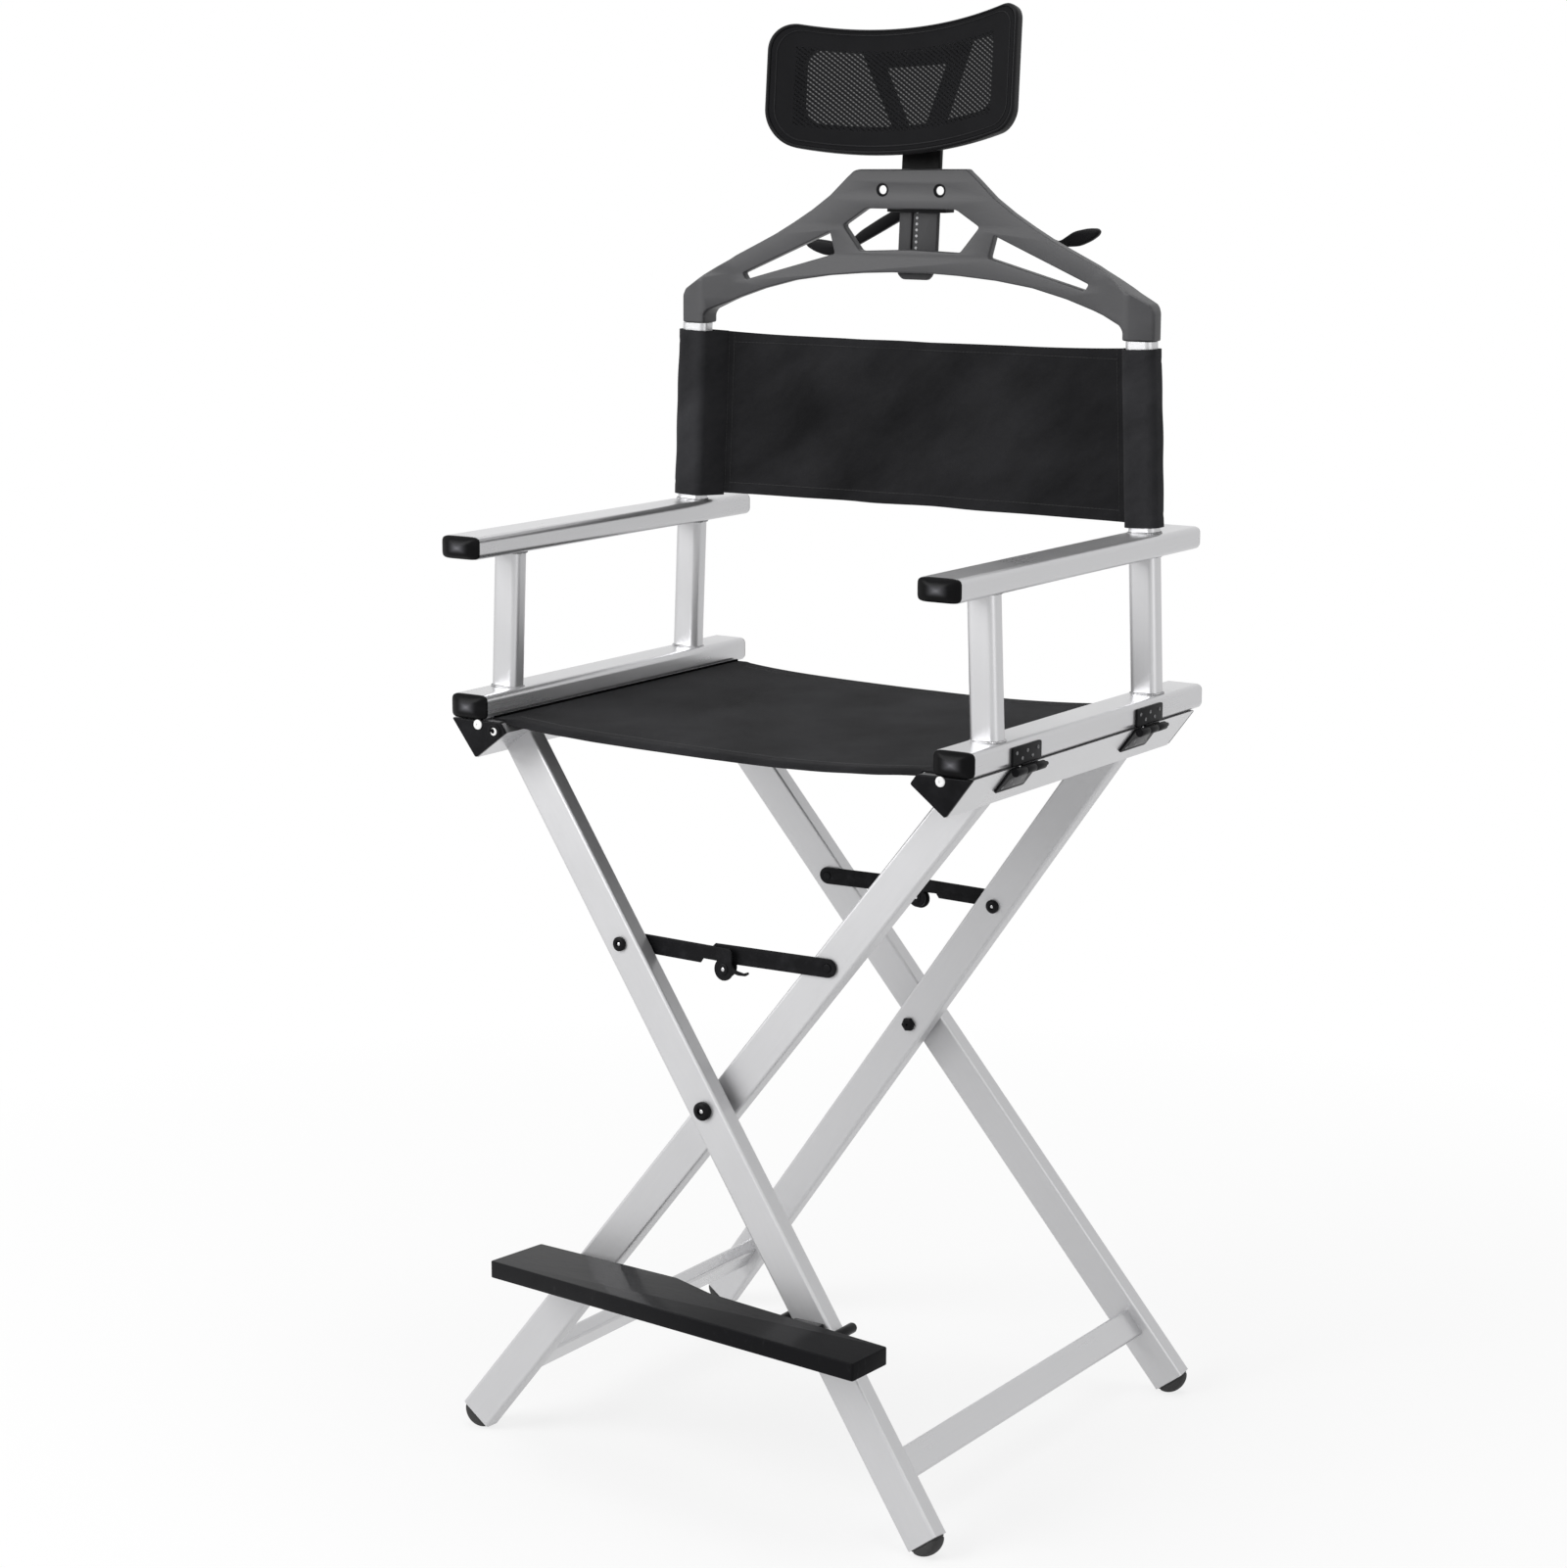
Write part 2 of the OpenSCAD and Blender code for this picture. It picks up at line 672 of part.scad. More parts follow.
module yoke_part() {
  stand() {
    difference() {
      intersection() {
        translate([0, yoke_y + 40, yoke_low]) rotate([90, 0, 0])
          linear_extrude(height = 80) difference() {
            union() {
              yoke_half();
              mirror([1, 0]) yoke_half();
            }
            yoke_windows();
          }
        translate([0, 0, yoke_low - 1]) linear_extrude(height = 170) yoke_plan();
      }
      for (side = [-1, 1]) translate([side * yoke_hole_gap / 2, yoke_y + 20, yoke_hole_z])
        rotate([90, 0, 0]) cylinder(r = yoke_hole_r, h = 40);
    }
    mirror([1, 0, 0]) on_post(back_post_y) translate([0, 0, post_lift - spigot_l])
      linear_extrude(height = spigot_l + 4)
        round_section(post_w - 2 * (post_wall + spigot_clear), post_t - 2 * (post_wall + spigot_clear),
          7 - post_wall - spigot_clear);
  }
}

module stem_frame() {
  stand() translate([0, stem_y, stem_mid]) rotate([-stem_lean, 0, 0]) children();
}

module stem_part() {
  difference() {
    stem_frame() translate([0, 0, stem_low - stem_mid]) {
      linear_extrude(height = stem_high - stem_low) round_section(stem_w, stem_t, 2);
      translate([0, stem_t / 2 - 1, 0.1]) rotate([90, 0, 0]) linear_extrude(height = stem_t - 2)
        polygon([[-stem_w / 2 + 2, 0], [-stem_w / 2 + 9, -5], [stem_w / 2 - 9, -5], [stem_w / 2 - 2, 0]]);
      for (i = [0:5]) translate([-7, stem_t / 2 - 0.5, 18 + 8 * i]) cube([14, 2, 4]);
    }
    stand() translate([-12, hub_y - 30, hub_z - hub_r - 1]) cube([24, 60, 40]);
    stand() translate([0, hub_y, hub_z]) rotate([0, 90, 0]) cylinder(r = 2.56, h = 80, center = true);
  }
}

// two bands on the yoke's back with slots that guide the stem, and the arm that carries the hanger
module stem_bracket_part() {
  rear = yoke_y + yoke_t / 2;
  difference() {
    stand() {
      for (z = [band_low, band_high]) translate([-band_w / 2, rear, z]) cube([band_w, band_deep, band_h]);
      translate([-9, rear + band_deep - 1, band_low]) cube([18, hanger_y - rear - band_deep + 1, band_h + 2]);
    }
    stem_frame() translate([0, 1, -20]) linear_extrude(height = 120)
      square([stem_w + 2 * stem_clear, stem_t + 2 + 2 * stem_clear], center = true);
  }
}

// one half of the hanger's bar, which droops to an upturned end
module hanger_half() {
  polygon([[-1, -6], [20, -6], [51, -15], [84, -30], [116, -44], [130, -50], [148, -50], [162, -45],
    [170, -40], [172, -36], [169, -33], [159, -32.5], [143, -35], [127, -39], [118, -36],
    [104, -26], [80, -14], [51, 0], [26, 9], [-1, 11]]);
}

// the bar with drooping ends that a coat or cape hangs on
module hanger_part() {
  stand() translate([0, hanger_y + hanger_t, hanger_z]) rotate([90, 0, 0])
    rotate([0, 0, hanger_roll]) linear_extrude(height = hanger_t) {
      hanger_half();
      mirror([1, 0]) hanger_half();
    }
}

module tilt_pin_part() {
  stand() translate([0, hub_y, hub_z]) rotate([0, 90, 0])
    cylinder(r = 2.5, h = stem_w - 4, center = true);
}

// children are drawn about the headrest's middle
module head_frame() {
  stand() translate([0, head_y, head_z]) rotate([-head_tilt, 0, 0])
    rotate([0, -head_roll, 0]) children();
}

module head_shell(from, to) {
  translate([0, -head_bend, 0]) difference() {
    cylinder(r = head_bend + to, h = head_h + 20, center = true, $fn = 96);
    cylinder(r = head_bend + from, h = head_h + 22, center = true, $fn = 96);
  }
}

// lift of the headrest's outline at a distance x from its middle
function head_lift(x) = head_smile * (pow(2 * x / head_w, 2) - 0.56);

// outline with rounded corners and a middle that sags, shrunk by in above and below, in_x at the ends
module head_outline(in, in_x, r) {
  half_w = head_w / 2 - in_x;
  half_h = head_h / 2 - in;
  flat = [for (k = [[1, 1, 0], [-1, 1, 90], [-1, -1, 180], [1, -1, 270]], i = [0:6])
    [k[0] * (half_w - r) + r * cos(k[2] + 15 * i), k[1] * (half_h - r) + r * sin(k[2] + 15 * i)]];
  top = [for (i = [1:9]) [(half_w - r) * (1 - i / 5), half_h]];
  low = [for (i = [1:9]) [(half_w - r) * (i / 5 - 1), -half_h]];
  round_about = concat([for (i = [0:6]) flat[i]], top, [for (i = [7:20]) flat[i]], low,
    [for (i = [21:27]) flat[i]]);
  rotate([90, 0, 0]) linear_extrude(height = 200, center = true)
    polygon([for (p = round_about) [p[0], p[1] + head_lift(p[0])]]);
}

// a wide frame with one window, and a recess in front that leaves a thin lip round the mesh
module headrest_frame_part() {
  head_frame() difference() {
    intersection() {
      head_shell(-head_t / 2, head_t / 2);
      head_outline(0, 0, 22);
    }
    head_outline(head_rim, head_end, 16);
    intersection() {
      head_shell(-head_t, -head_t / 2 + mesh_t);
      head_outline(head_lip, head_lip, 19);
    }
  }
}

module headrest_mesh_part() {
  head_frame() intersection() {
    head_shell(-head_t / 2, -head_t / 2 + mesh_t - 0.05);
    head_outline(head_lip + 0.2, head_lip + 0.2, 18.8);
  }
}

// a trapezoid plate with a window, which stands on feet behind the headrest's frame and turns on the pin
module headrest_hub_part() {
  plate_at = head_t / 2 + strut_back;
  foot_at = head_t / 2 + 0.1;
  top = head_h / 2 - 14;
  low = -head_h / 2 + 7;
  block_y = head_y + (plate_at + 2) * cos(head_tilt) - (head_z - hub_z) * sin(head_tilt);
  difference() {
    union() {
      head_frame() intersection() {
        head_shell(plate_at, plate_at + 5);
        rotate([90, 0, 0]) linear_extrude(height = 200, center = true) difference() {
          polygon([[-30, low], [30, low], [34, low + 8], [66, top], [-66, top], [-34, low + 8]]);
          polygon([[-12, low + 15], [12, low + 15], [31, 11], [-31, 11]]);
        }
      }
      head_frame() intersection() {
        head_shell(foot_at, plate_at + 1);
        union() {
          for (side = [-1, 1]) translate([side * 50 - 9, -80, top - 12]) cube([18, 160, 12]);
          translate([-26, -80, low]) cube([52, 160, 9]);
        }
      }
      stand() translate([0, hub_y, hub_z]) rotate([0, 90, 0]) cylinder(r = hub_r, h = 22, center = true);
      stand() translate([-11, block_y, hub_z - 6]) cube([22, hub_y - block_y - 1, 12]);
    }
    stand() translate([0, hub_y, hub_z]) rotate([0, 90, 0]) cylinder(r = 2.56, h = 80, center = true);
  }
}

module footrest_part() {
  stand() translate([0, 0, footrest_top - footrest_t]) linear_extrude(height = footrest_t)
    polygon([foot_front_left, foot_front_right, foot_rear_right, foot_step_right,
      foot_step_left, foot_rear_left]);
}

module rounded_peg(x, from, to, r) {
  translate([x, to, footrest_top - footrest_t / 2 - 2]) rotate([90, 0, 0])
    cylinder(r = r, h = to - from);
  translate([x, to, footrest_top - footrest_t / 2 - 2]) sphere(r = r);
}

module footrest_peg_group() {
  leg_at = (pivot_z - footrest_top + footrest_t / 2) * tan(frame_tilt);
  half = leg_w / 2 / cos(frame_tilt);
  stand() difference() {
    union() {
      rounded_peg(leg_at + half + 11, face_a - 33, face_a + 23, 5);
      rounded_peg(leg_at - half - 9, face_a - 33, face_a + 19, 5);
      translate([leg_at - 16, face_a - 25, footrest_top - footrest_t + 1])
        cube([32, 24.5, footrest_t - 5]);
    }
    translate([0, 0, footrest_top - footrest_t - 0.5]) linear_extrude(height = footrest_t + 1)
      polygon([foot_front_left, foot_front_right, foot_rear_right, foot_step_right,
        foot_step_left, foot_rear_left]);
  }
}

module leg_a_front() { color(metal_color) tilted(true) leg(spread_a, -1); }
module leg_a_rear() { color(metal_color) tilted(true) leg(spread_a, 1); }
module leg_b_front() { color(metal_color) tilted(false) leg(spread_b, -1); }
module leg_b_rear() { color(metal_color) tilted(false) leg(spread_b, 1); }
module feet_a() { color(dark_color) tilted(true) feet(spread_a); }
module feet_b() { color(dark_color) tilted(false) feet(spread_b); }
module top_rail_left() { color(metal_color) tilted(true) top_rail(); }
module top_rail_right() { color(metal_color) tilted(false) top_rail(); }
module rail_caps_left() { color(dark_color) tilted(true) rail_cap_pair(); }
module rail_caps_right() { color(dark_color) tilted(false) rail_cap_pair(); }
module lower_rail_a() { color(metal_color) tilted(true) lower_rail(spread_a); }
module lower_rail_b() { color(metal_color) tilted(false) lower_rail(spread_b); }
module pivot_bolts() { color(dark_color) tilted(true) pivot_bolt_pair(); }
module pivot_spacers() { color(dark_color) tilted(true) pivot_spacer_pair(); }
module stay_bolts_a() {
  color(dark_color) tilted(true) {
    stay_bolt(spread_a, -1, -1, lobed_gap);
    stay_bolt(spread_a, 1, 1, plain_gap);
  }
}
module stay_bolts_b() {
  color(dark_color) tilted(false) {
    stay_bolt(spread_b, -1, 1, plain_gap);
    stay_bolt(spread_b, 1, -1, lobed_gap);
  }
}
module stay_lobed_front() { color(dark_color) tilted(true) on_leg_face(spread_a, -1, 1, lobed_gap + stay_t) stay_bar(true); }
module stay_plain_front() { color(dark_color) tilted(false) on_leg_face(spread_b, -1, -1, plain_gap) stay_bar(false); }
module stay_lobed_rear() { color(dark_color) tilted(false) on_leg_face(spread_b, 1, 1, lobed_gap + stay_t) stay_bar(true); }
module stay_plain_rear() { color(dark_color) tilted(true) on_leg_face(spread_a, 1, -1, plain_gap) stay_bar(false); }
module stay_rivets_front() { color(dark_color) tilted(true) rivet_on_face(spread_a, -1, -1, -leg_t - lobed_gap); }
module stay_rivets_rear() { color(dark_color) tilted(false) rivet_on_face(spread_b, 1, -1, -leg_t - lobed_gap); }
module arm_rail_left() { color(metal_color) stand() mirrored(true) arm_rail_part(); }
module arm_rail_right() { color(metal_color) stand() arm_rail_part(); }
module front_post_left() { color(metal_color) stand() mirrored(true) front_post_part(); }
module front_post_right() { color(metal_color) stand() front_post_part(); }
module back_post_left() { color(metal_color) stand() mirrored(true) back_post_part(); }
module back_post_right() { color(metal_color) stand() back_post_part(); }
module armrest_left() { color(metal_color) stand() mirrored(true) armrest_part(); }
module armrest_right() { color(metal_color) stand() armrest_part(); }
module arm_caps_left() { color(dark_color) stand() mirrored(true) arm_cap_group(); }
module arm_caps_right() { color(dark_color) stand() arm_cap_group(); }
module hinge_arm_left() {
  color(dark_color) stand() mirrored(true) {
    arm_hinge_leaf(-hinge_front_y);
    arm_hinge_leaf(hinge_rear_y);
  }
}
module hinge_arm_right() {
  color(dark_color) stand() {
    arm_hinge_leaf(-hinge_front_y);
    arm_hinge_leaf(hinge_rear_y);
  }
}
module hinge_rail_left() {
  color(dark_color) stand() mirrored(true) {
    rail_hinge_leaf(-hinge_front_y);
    rail_hinge_leaf(hinge_rear_y);
  }
}
module hinge_rail_right() {
  color(dark_color) stand() {
    rail_hinge_leaf(-hinge_front_y);
    rail_hinge_leaf(hinge_rear_y);
  }
}
module hinge_pins_left() {
  color(dark_color) stand() mirrored(true) {
    hinge_pin(-hinge_front_y);
    hinge_pin(hinge_rear_y);
  }
}
module hinge_pins_right() {
  color(dark_color) stand() {
    hinge_pin(-hinge_front_y);
    hinge_pin(hinge_rear_y);
  }
}
module seat_rod_left() { color(metal_color) tilted(true) seat_rod(); }
module seat_rod_right() { color(metal_color) tilted(false) seat_rod(); }
module seat_sling() { color(cloth_color) seat_part(); }
module sleeve_left() { color(cloth_color) stand() mirrored(true) sleeve_part(); }
module sleeve_right() { color(cloth_color) stand() sleeve_part(); }
module back_sling() { color(cloth_color) back_part(); }
module yoke() { color(moulded_color) yoke_part(); }
module stem_bracket() { color(dark_color) stem_bracket_part(); }
module hanger() { color(dark_color) hanger_part(); }
module stem() { color(moulded_color) stem_part(); }
module tilt_pin() { color(metal_color) tilt_pin_part(); }
module headrest_hub() { color(moulded_color) headrest_hub_part(); }
module headrest_frame() { color(moulded_color) headrest_frame_part(); }
module headrest_mesh() { color(cloth_color) headrest_mesh_part(); }
module footrest_board() { color(dark_color) footrest_part(); }
module footrest_pegs() { color(dark_color) footrest_peg_group(); }

leg_a_front();
leg_a_rear();
leg_b_front();
leg_b_rear();
feet_a();
feet_b();
top_rail_left();
top_rail_right();
rail_caps_left();
rail_caps_right();
lower_rail_a();
lower_rail_b();
pivot_bolts();
pivot_spacers();
stay_bolts_a();
stay_bolts_b();
stay_lobed_front();
stay_plain_front();
stay_lobed_rear();
stay_plain_rear();
stay_rivets_front();
stay_rivets_rear();
arm_rail_left();
arm_rail_right();
front_post_left();
front_post_right();
back_post_left();
back_post_right();
armrest_left();
armrest_right();
arm_caps_left();
arm_caps_right();
hinge_arm_left();
hinge_arm_right();
hinge_rail_left();
hinge_rail_right();
hinge_pins_left();
hinge_pins_right();
seat_rod_left();
seat_rod_right();
seat_sling();
sleeve_left();
sleeve_right();
back_sling();
yoke();
stem_bracket();
hanger();
stem();
tilt_pin();
headrest_hub();
headrest_frame();
headrest_mesh();
footrest_board();
footrest_pegs();
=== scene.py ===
import math

import bmesh
import bpy
from mathutils import Matrix, Vector


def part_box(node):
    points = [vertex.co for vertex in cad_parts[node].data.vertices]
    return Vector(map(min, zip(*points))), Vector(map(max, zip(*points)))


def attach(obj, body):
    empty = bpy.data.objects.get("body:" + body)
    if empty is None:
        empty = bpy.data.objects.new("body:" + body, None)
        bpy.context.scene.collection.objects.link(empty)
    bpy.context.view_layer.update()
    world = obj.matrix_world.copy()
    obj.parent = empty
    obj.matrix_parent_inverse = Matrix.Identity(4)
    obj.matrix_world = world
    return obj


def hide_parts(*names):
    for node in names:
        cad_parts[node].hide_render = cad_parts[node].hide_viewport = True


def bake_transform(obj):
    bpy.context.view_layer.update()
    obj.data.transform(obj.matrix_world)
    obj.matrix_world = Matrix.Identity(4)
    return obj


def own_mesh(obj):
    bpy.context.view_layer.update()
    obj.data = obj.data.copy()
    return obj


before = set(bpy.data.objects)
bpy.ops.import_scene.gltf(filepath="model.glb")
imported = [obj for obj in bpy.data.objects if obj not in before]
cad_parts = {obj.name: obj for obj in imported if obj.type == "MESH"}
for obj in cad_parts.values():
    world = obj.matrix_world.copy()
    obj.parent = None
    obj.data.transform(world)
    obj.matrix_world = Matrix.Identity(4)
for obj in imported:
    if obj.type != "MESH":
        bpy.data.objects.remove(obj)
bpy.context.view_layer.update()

bl_info = {
    "name": "Folding make-up chair",
    "version": (1, 0, 0),
    "blender": (4, 5, 0),
    "location": "3D View > Sidebar > Chair",
    "description": "Cloth, mouldings, fittings, finishes and studio for a crossed-leg chair with a headrest",
    "category": "Object",
}

MM = 0.001


def sind(degrees):
    return math.sin(math.radians(degrees))


def cosd(degrees):
    return math.cos(math.radians(degrees))


def tand(degrees):
    return math.tan(math.radians(degrees))


# The chair's own sizes, in millimetres and degrees, as its construction has them.
# Heights are from the floor; depths are from the middle of the seat rails.
PLACE_Y = sum(corner.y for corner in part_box("top_rail_left")) / 2
# crossing, legs and feet
PIVOT_Z, TILT, SPLAY = 373.1, 37.05, 5.6
LEG_W, LEG_T, FOOT_R, FOOT_IN = 36.6, 20.0, 20.0, 8.0
SPREAD_A = 204.1
SPREAD_B = SPREAD_A - LEG_T / cosd(SPLAY) - 10.1
LEG_DOWN = (PIVOT_Z - FOOT_R) / cosd(TILT) / cosd(SPLAY) + FOOT_IN
# seat rails
RAIL_TOP, RAIL_FROM, RAIL_OUT, RAIL_IN, RAIL_END = 724.7, 410.0, 21.5, 24.5, 216.0
# arms: lower rail, armrest and posts
ARM_X, ARM_Z, ARM_LEAN = 271.9, 737.0, 2.3
ARM_W, ARM_H, ARM_FRONT, ARM_REAR = 42.0, 24.0, 216.0, 232.0
REST_Z, REST_W, REST_H, REST_FRONT, REST_REAR = 894.3, 44.0, 22.0, 234.0, 230.0
REST_X = ARM_X - (REST_Z - ARM_Z) * tand(ARM_LEAN)
POST_W, POST_T, POST_TOP, FRONT_POST, BACK_POST = 30.0, 20.0, 1089.0, 157.0, 155.0
# hinges, with the front end of each
HINGE_Z, KNUCKLE_R, LEAF_T, HINGE_L = 721.5, 4.0, 2.5, 53.0
HINGE_X = ARM_X + ARM_W / 2 + LEAF_T / 2 + KNUCKLE_R - 0.6
HINGE_FRONTS = (-152.0, 90.0)
# folding stays
STAY_AT, STAY_H, STAY_T, STAY_DROP, STAY_LOBE = 181.0, 18.0, 2.5, 11.6, 11.0
STAY_X = STAY_AT * sind(TILT)
PLAIN_GAP, LOBED_GAP = 0.5, 1.4
# back sling and seat
SEAM_X, SEAM_Y, BACK_LOW, BACK_HIGH = 235.0, 171.0, 911.0, 1082.0
SEAT_EDGE, SEAT_LEVEL, SEAT_FRONT, SEAT_REAR = ARM_X - ARM_W / 2 - 1.4, RAIL_TOP + 0.3, -210.0, 214.0
# yoke, guide bands and hanger
YOKE_Y, YOKE_T, YOKE_LOW = 157.0, 10.0, 1089.3
BOSS_W, BOSS_T, BOSS_TURN = 31.0, 26.0, 7.0
HOLE_X, HOLE_Z, HOLE_R = 33.0, 1228.0, 4.25
BAND_W, BAND_H, BAND_DEEP, BAND_LOWS = 68.0, 10.0, 23.0, (HOLE_Z - 22, HOLE_Z + 8)
HANGER_T, HANGER_Y, HANGER_Z, HANGER_ROLL = 8.0, YOKE_Y + YOKE_T / 2 + 60, HOLE_Z - 12, 3.1
YOKE_X = ARM_X - (POST_TOP - ARM_Z) * tand(ARM_LEAN)
# stem, hub and headrest
STEM_W, STEM_T, STEM_LEAN, STEM_Y, STEM_MID = 44.0, 6.0, 4.0, 169.5, 1194.0
STEM_LOW, STEM_HIGH = 1141.0, 1284.0
HUB_Y = STEM_Y + (STEM_HIGH - 10 - STEM_MID) * tand(STEM_LEAN)
HUB_Z, HUB_R = STEM_HIGH - 10, 8.0
HEAD_W, HEAD_H, HEAD_T, HEAD_BEND = 282.0, 122.0, 14.0, 500.0
HEAD_LIP, MESH_T, STRUT_BACK = 3.0, 2.0, 20.0
# widths of the headrest's rim below, above and at the ends, and corner radii outside and at the window
RIM_LOW, RIM_TOP, RIM_LEFT, RIM_RIGHT = 27.0, 22.0, 36.0, 30.0
CORNERS, WINDOW_CORNERS = {-1: 32.0, 1: 19.0}, {-1: 17.0, 1: 12.0}
HEAD_Y, HEAD_Z, HEAD_ROLL, HEAD_TILT, HEAD_SMILE = 132.0, 1332.0, 3.4, 10.0, 16.0
# footrest, and the front faces of the legs behind it
FOOTREST_TOP, FOOTREST_T = 202.0, 17.0
FACE_A, FACE_B = -237.257, -207.061
FOOTREST = [(-210, FACE_B - 70), (235, FACE_A - 84.8), (238, FACE_A - 29.8), (22, FACE_A + 1.2),
            (-30, FACE_B - 10), (-200, FACE_B - 1)]


# Sizes, colours and lamps that a user can change

class ChairSizes(bpy.types.PropertyGroup):
    cloth: bpy.props.FloatProperty(
        name="Cloth thickness", description="Thickness of the sling cloth",
        default=0.0016, min=0.0008, max=0.0022, unit="LENGTH", precision=4)
    seat_sag: bpy.props.FloatProperty(
        name="Seat sag", description="How far the middle of the seat hangs under its rails",
        default=0.009, min=0.0, max=0.014, unit="LENGTH", precision=4)
    hem: bpy.props.FloatProperty(
        name="Hem", description="Width of the turned hem at the free edges of seat and back",
        default=0.022, min=0.008, max=0.04, unit="LENGTH", precision=4)
    thread: bpy.props.FloatProperty(
        name="Thread pitch", description="Distance from thread to thread in the sling cloth",
        default=0.0011, min=0.0004, max=0.003, unit="LENGTH", precision=4)
    mesh_pitch: bpy.props.FloatProperty(
        name="Mesh pitch", description="Distance from hole to hole in the headrest's mesh",
        default=0.0037, min=0.001, max=0.006, unit="LENGTH", precision=4)


class ChairColours(bpy.types.PropertyGroup):
    tube: bpy.props.FloatVectorProperty(
        name="Tube", description="Colour of the anodised tubes", subtype="COLOR", size=4,
        default=(0.56, 0.56, 0.57, 1), min=0, max=1)
    steel: bpy.props.FloatVectorProperty(
        name="Steel", description="Colour of the bright screws and rods", subtype="COLOR", size=4,
        default=(0.62, 0.62, 0.63, 1), min=0, max=1)
    black_metal: bpy.props.FloatVectorProperty(
        name="Black metal", description="Colour of hinges, stays and bolts", subtype="COLOR", size=4,
        default=(0.009, 0.009, 0.010, 1), min=0, max=1)
    plastic: bpy.props.FloatVectorProperty(
        name="Plastic", description="Colour of caps and pegs", subtype="COLOR", size=4,
        default=(0.009, 0.009, 0.010, 1), min=0, max=1)
    cloth: bpy.props.FloatVectorProperty(
        name="Cloth", description="Colour of seat and back", subtype="COLOR", size=4,
        default=(0.012, 0.012, 0.013, 1), min=0, max=1)
    moulding: bpy.props.FloatVectorProperty(
        name="Moulding", description="Colour of the yoke", subtype="COLOR", size=4,
        default=(0.055, 0.055, 0.058, 1), min=0, max=1)
    dark_moulding: bpy.props.FloatVectorProperty(
        name="Dark moulding", description="Colour of stem, hanger and headrest", subtype="COLOR", size=4,
        default=(0.009, 0.009, 0.010, 1), min=0, max=1)


class ChairStudio(bpy.types.PropertyGroup):
    key: bpy.props.FloatProperty(
        name="Key light", description="Power of the large lamp at the front left", default=95, min=0)
    fill: bpy.props.FloatProperty(
        name="Fill light", description="Power of the lamp at the right", default=14, min=0)
    top: bpy.props.FloatProperty(
        name="Top light", description="Power of the lamp overhead", default=45, min=0)
    room: bpy.props.FloatProperty(
        name="Room", description="Strength of the even light from all around", default=0.32, min=0, max=1)


# Finishes

class Wire:
    """A shader value. Reckoning with it adds Math nodes."""

    def __init__(self, finish, socket):
        self.finish, self.socket = finish, socket

    def _math(self, operation, *terms):
        return self.finish.node("ShaderNodeMath", {"operation": operation}, *terms)

    def __add__(self, other): return self._math("ADD", self, other)
    def __radd__(self, other): return self._math("ADD", other, self)
    def __sub__(self, other): return self._math("SUBTRACT", self, other)
    def __rsub__(self, other): return self._math("SUBTRACT", other, self)
    def __mul__(self, other): return self._math("MULTIPLY", self, other)
    def __rmul__(self, other): return self._math("MULTIPLY", other, self)
    def __pow__(self, other): return self._math("POWER", self, other)
    def __gt__(self, other): return self._math("GREATER_THAN", self, other)
    def sine(self): return self._math("SINE", self)
    def size(self): return self._math("ABSOLUTE", self)
    def smaller(self, other): return self._math("MINIMUM", self, other)

    def ramp(self, low, high):
        """0 below low, 1 above high, even between."""
        return self.finish.node("ShaderNodeMapRange", {"clamp": True}, self, low, high, 0.0, 1.0)


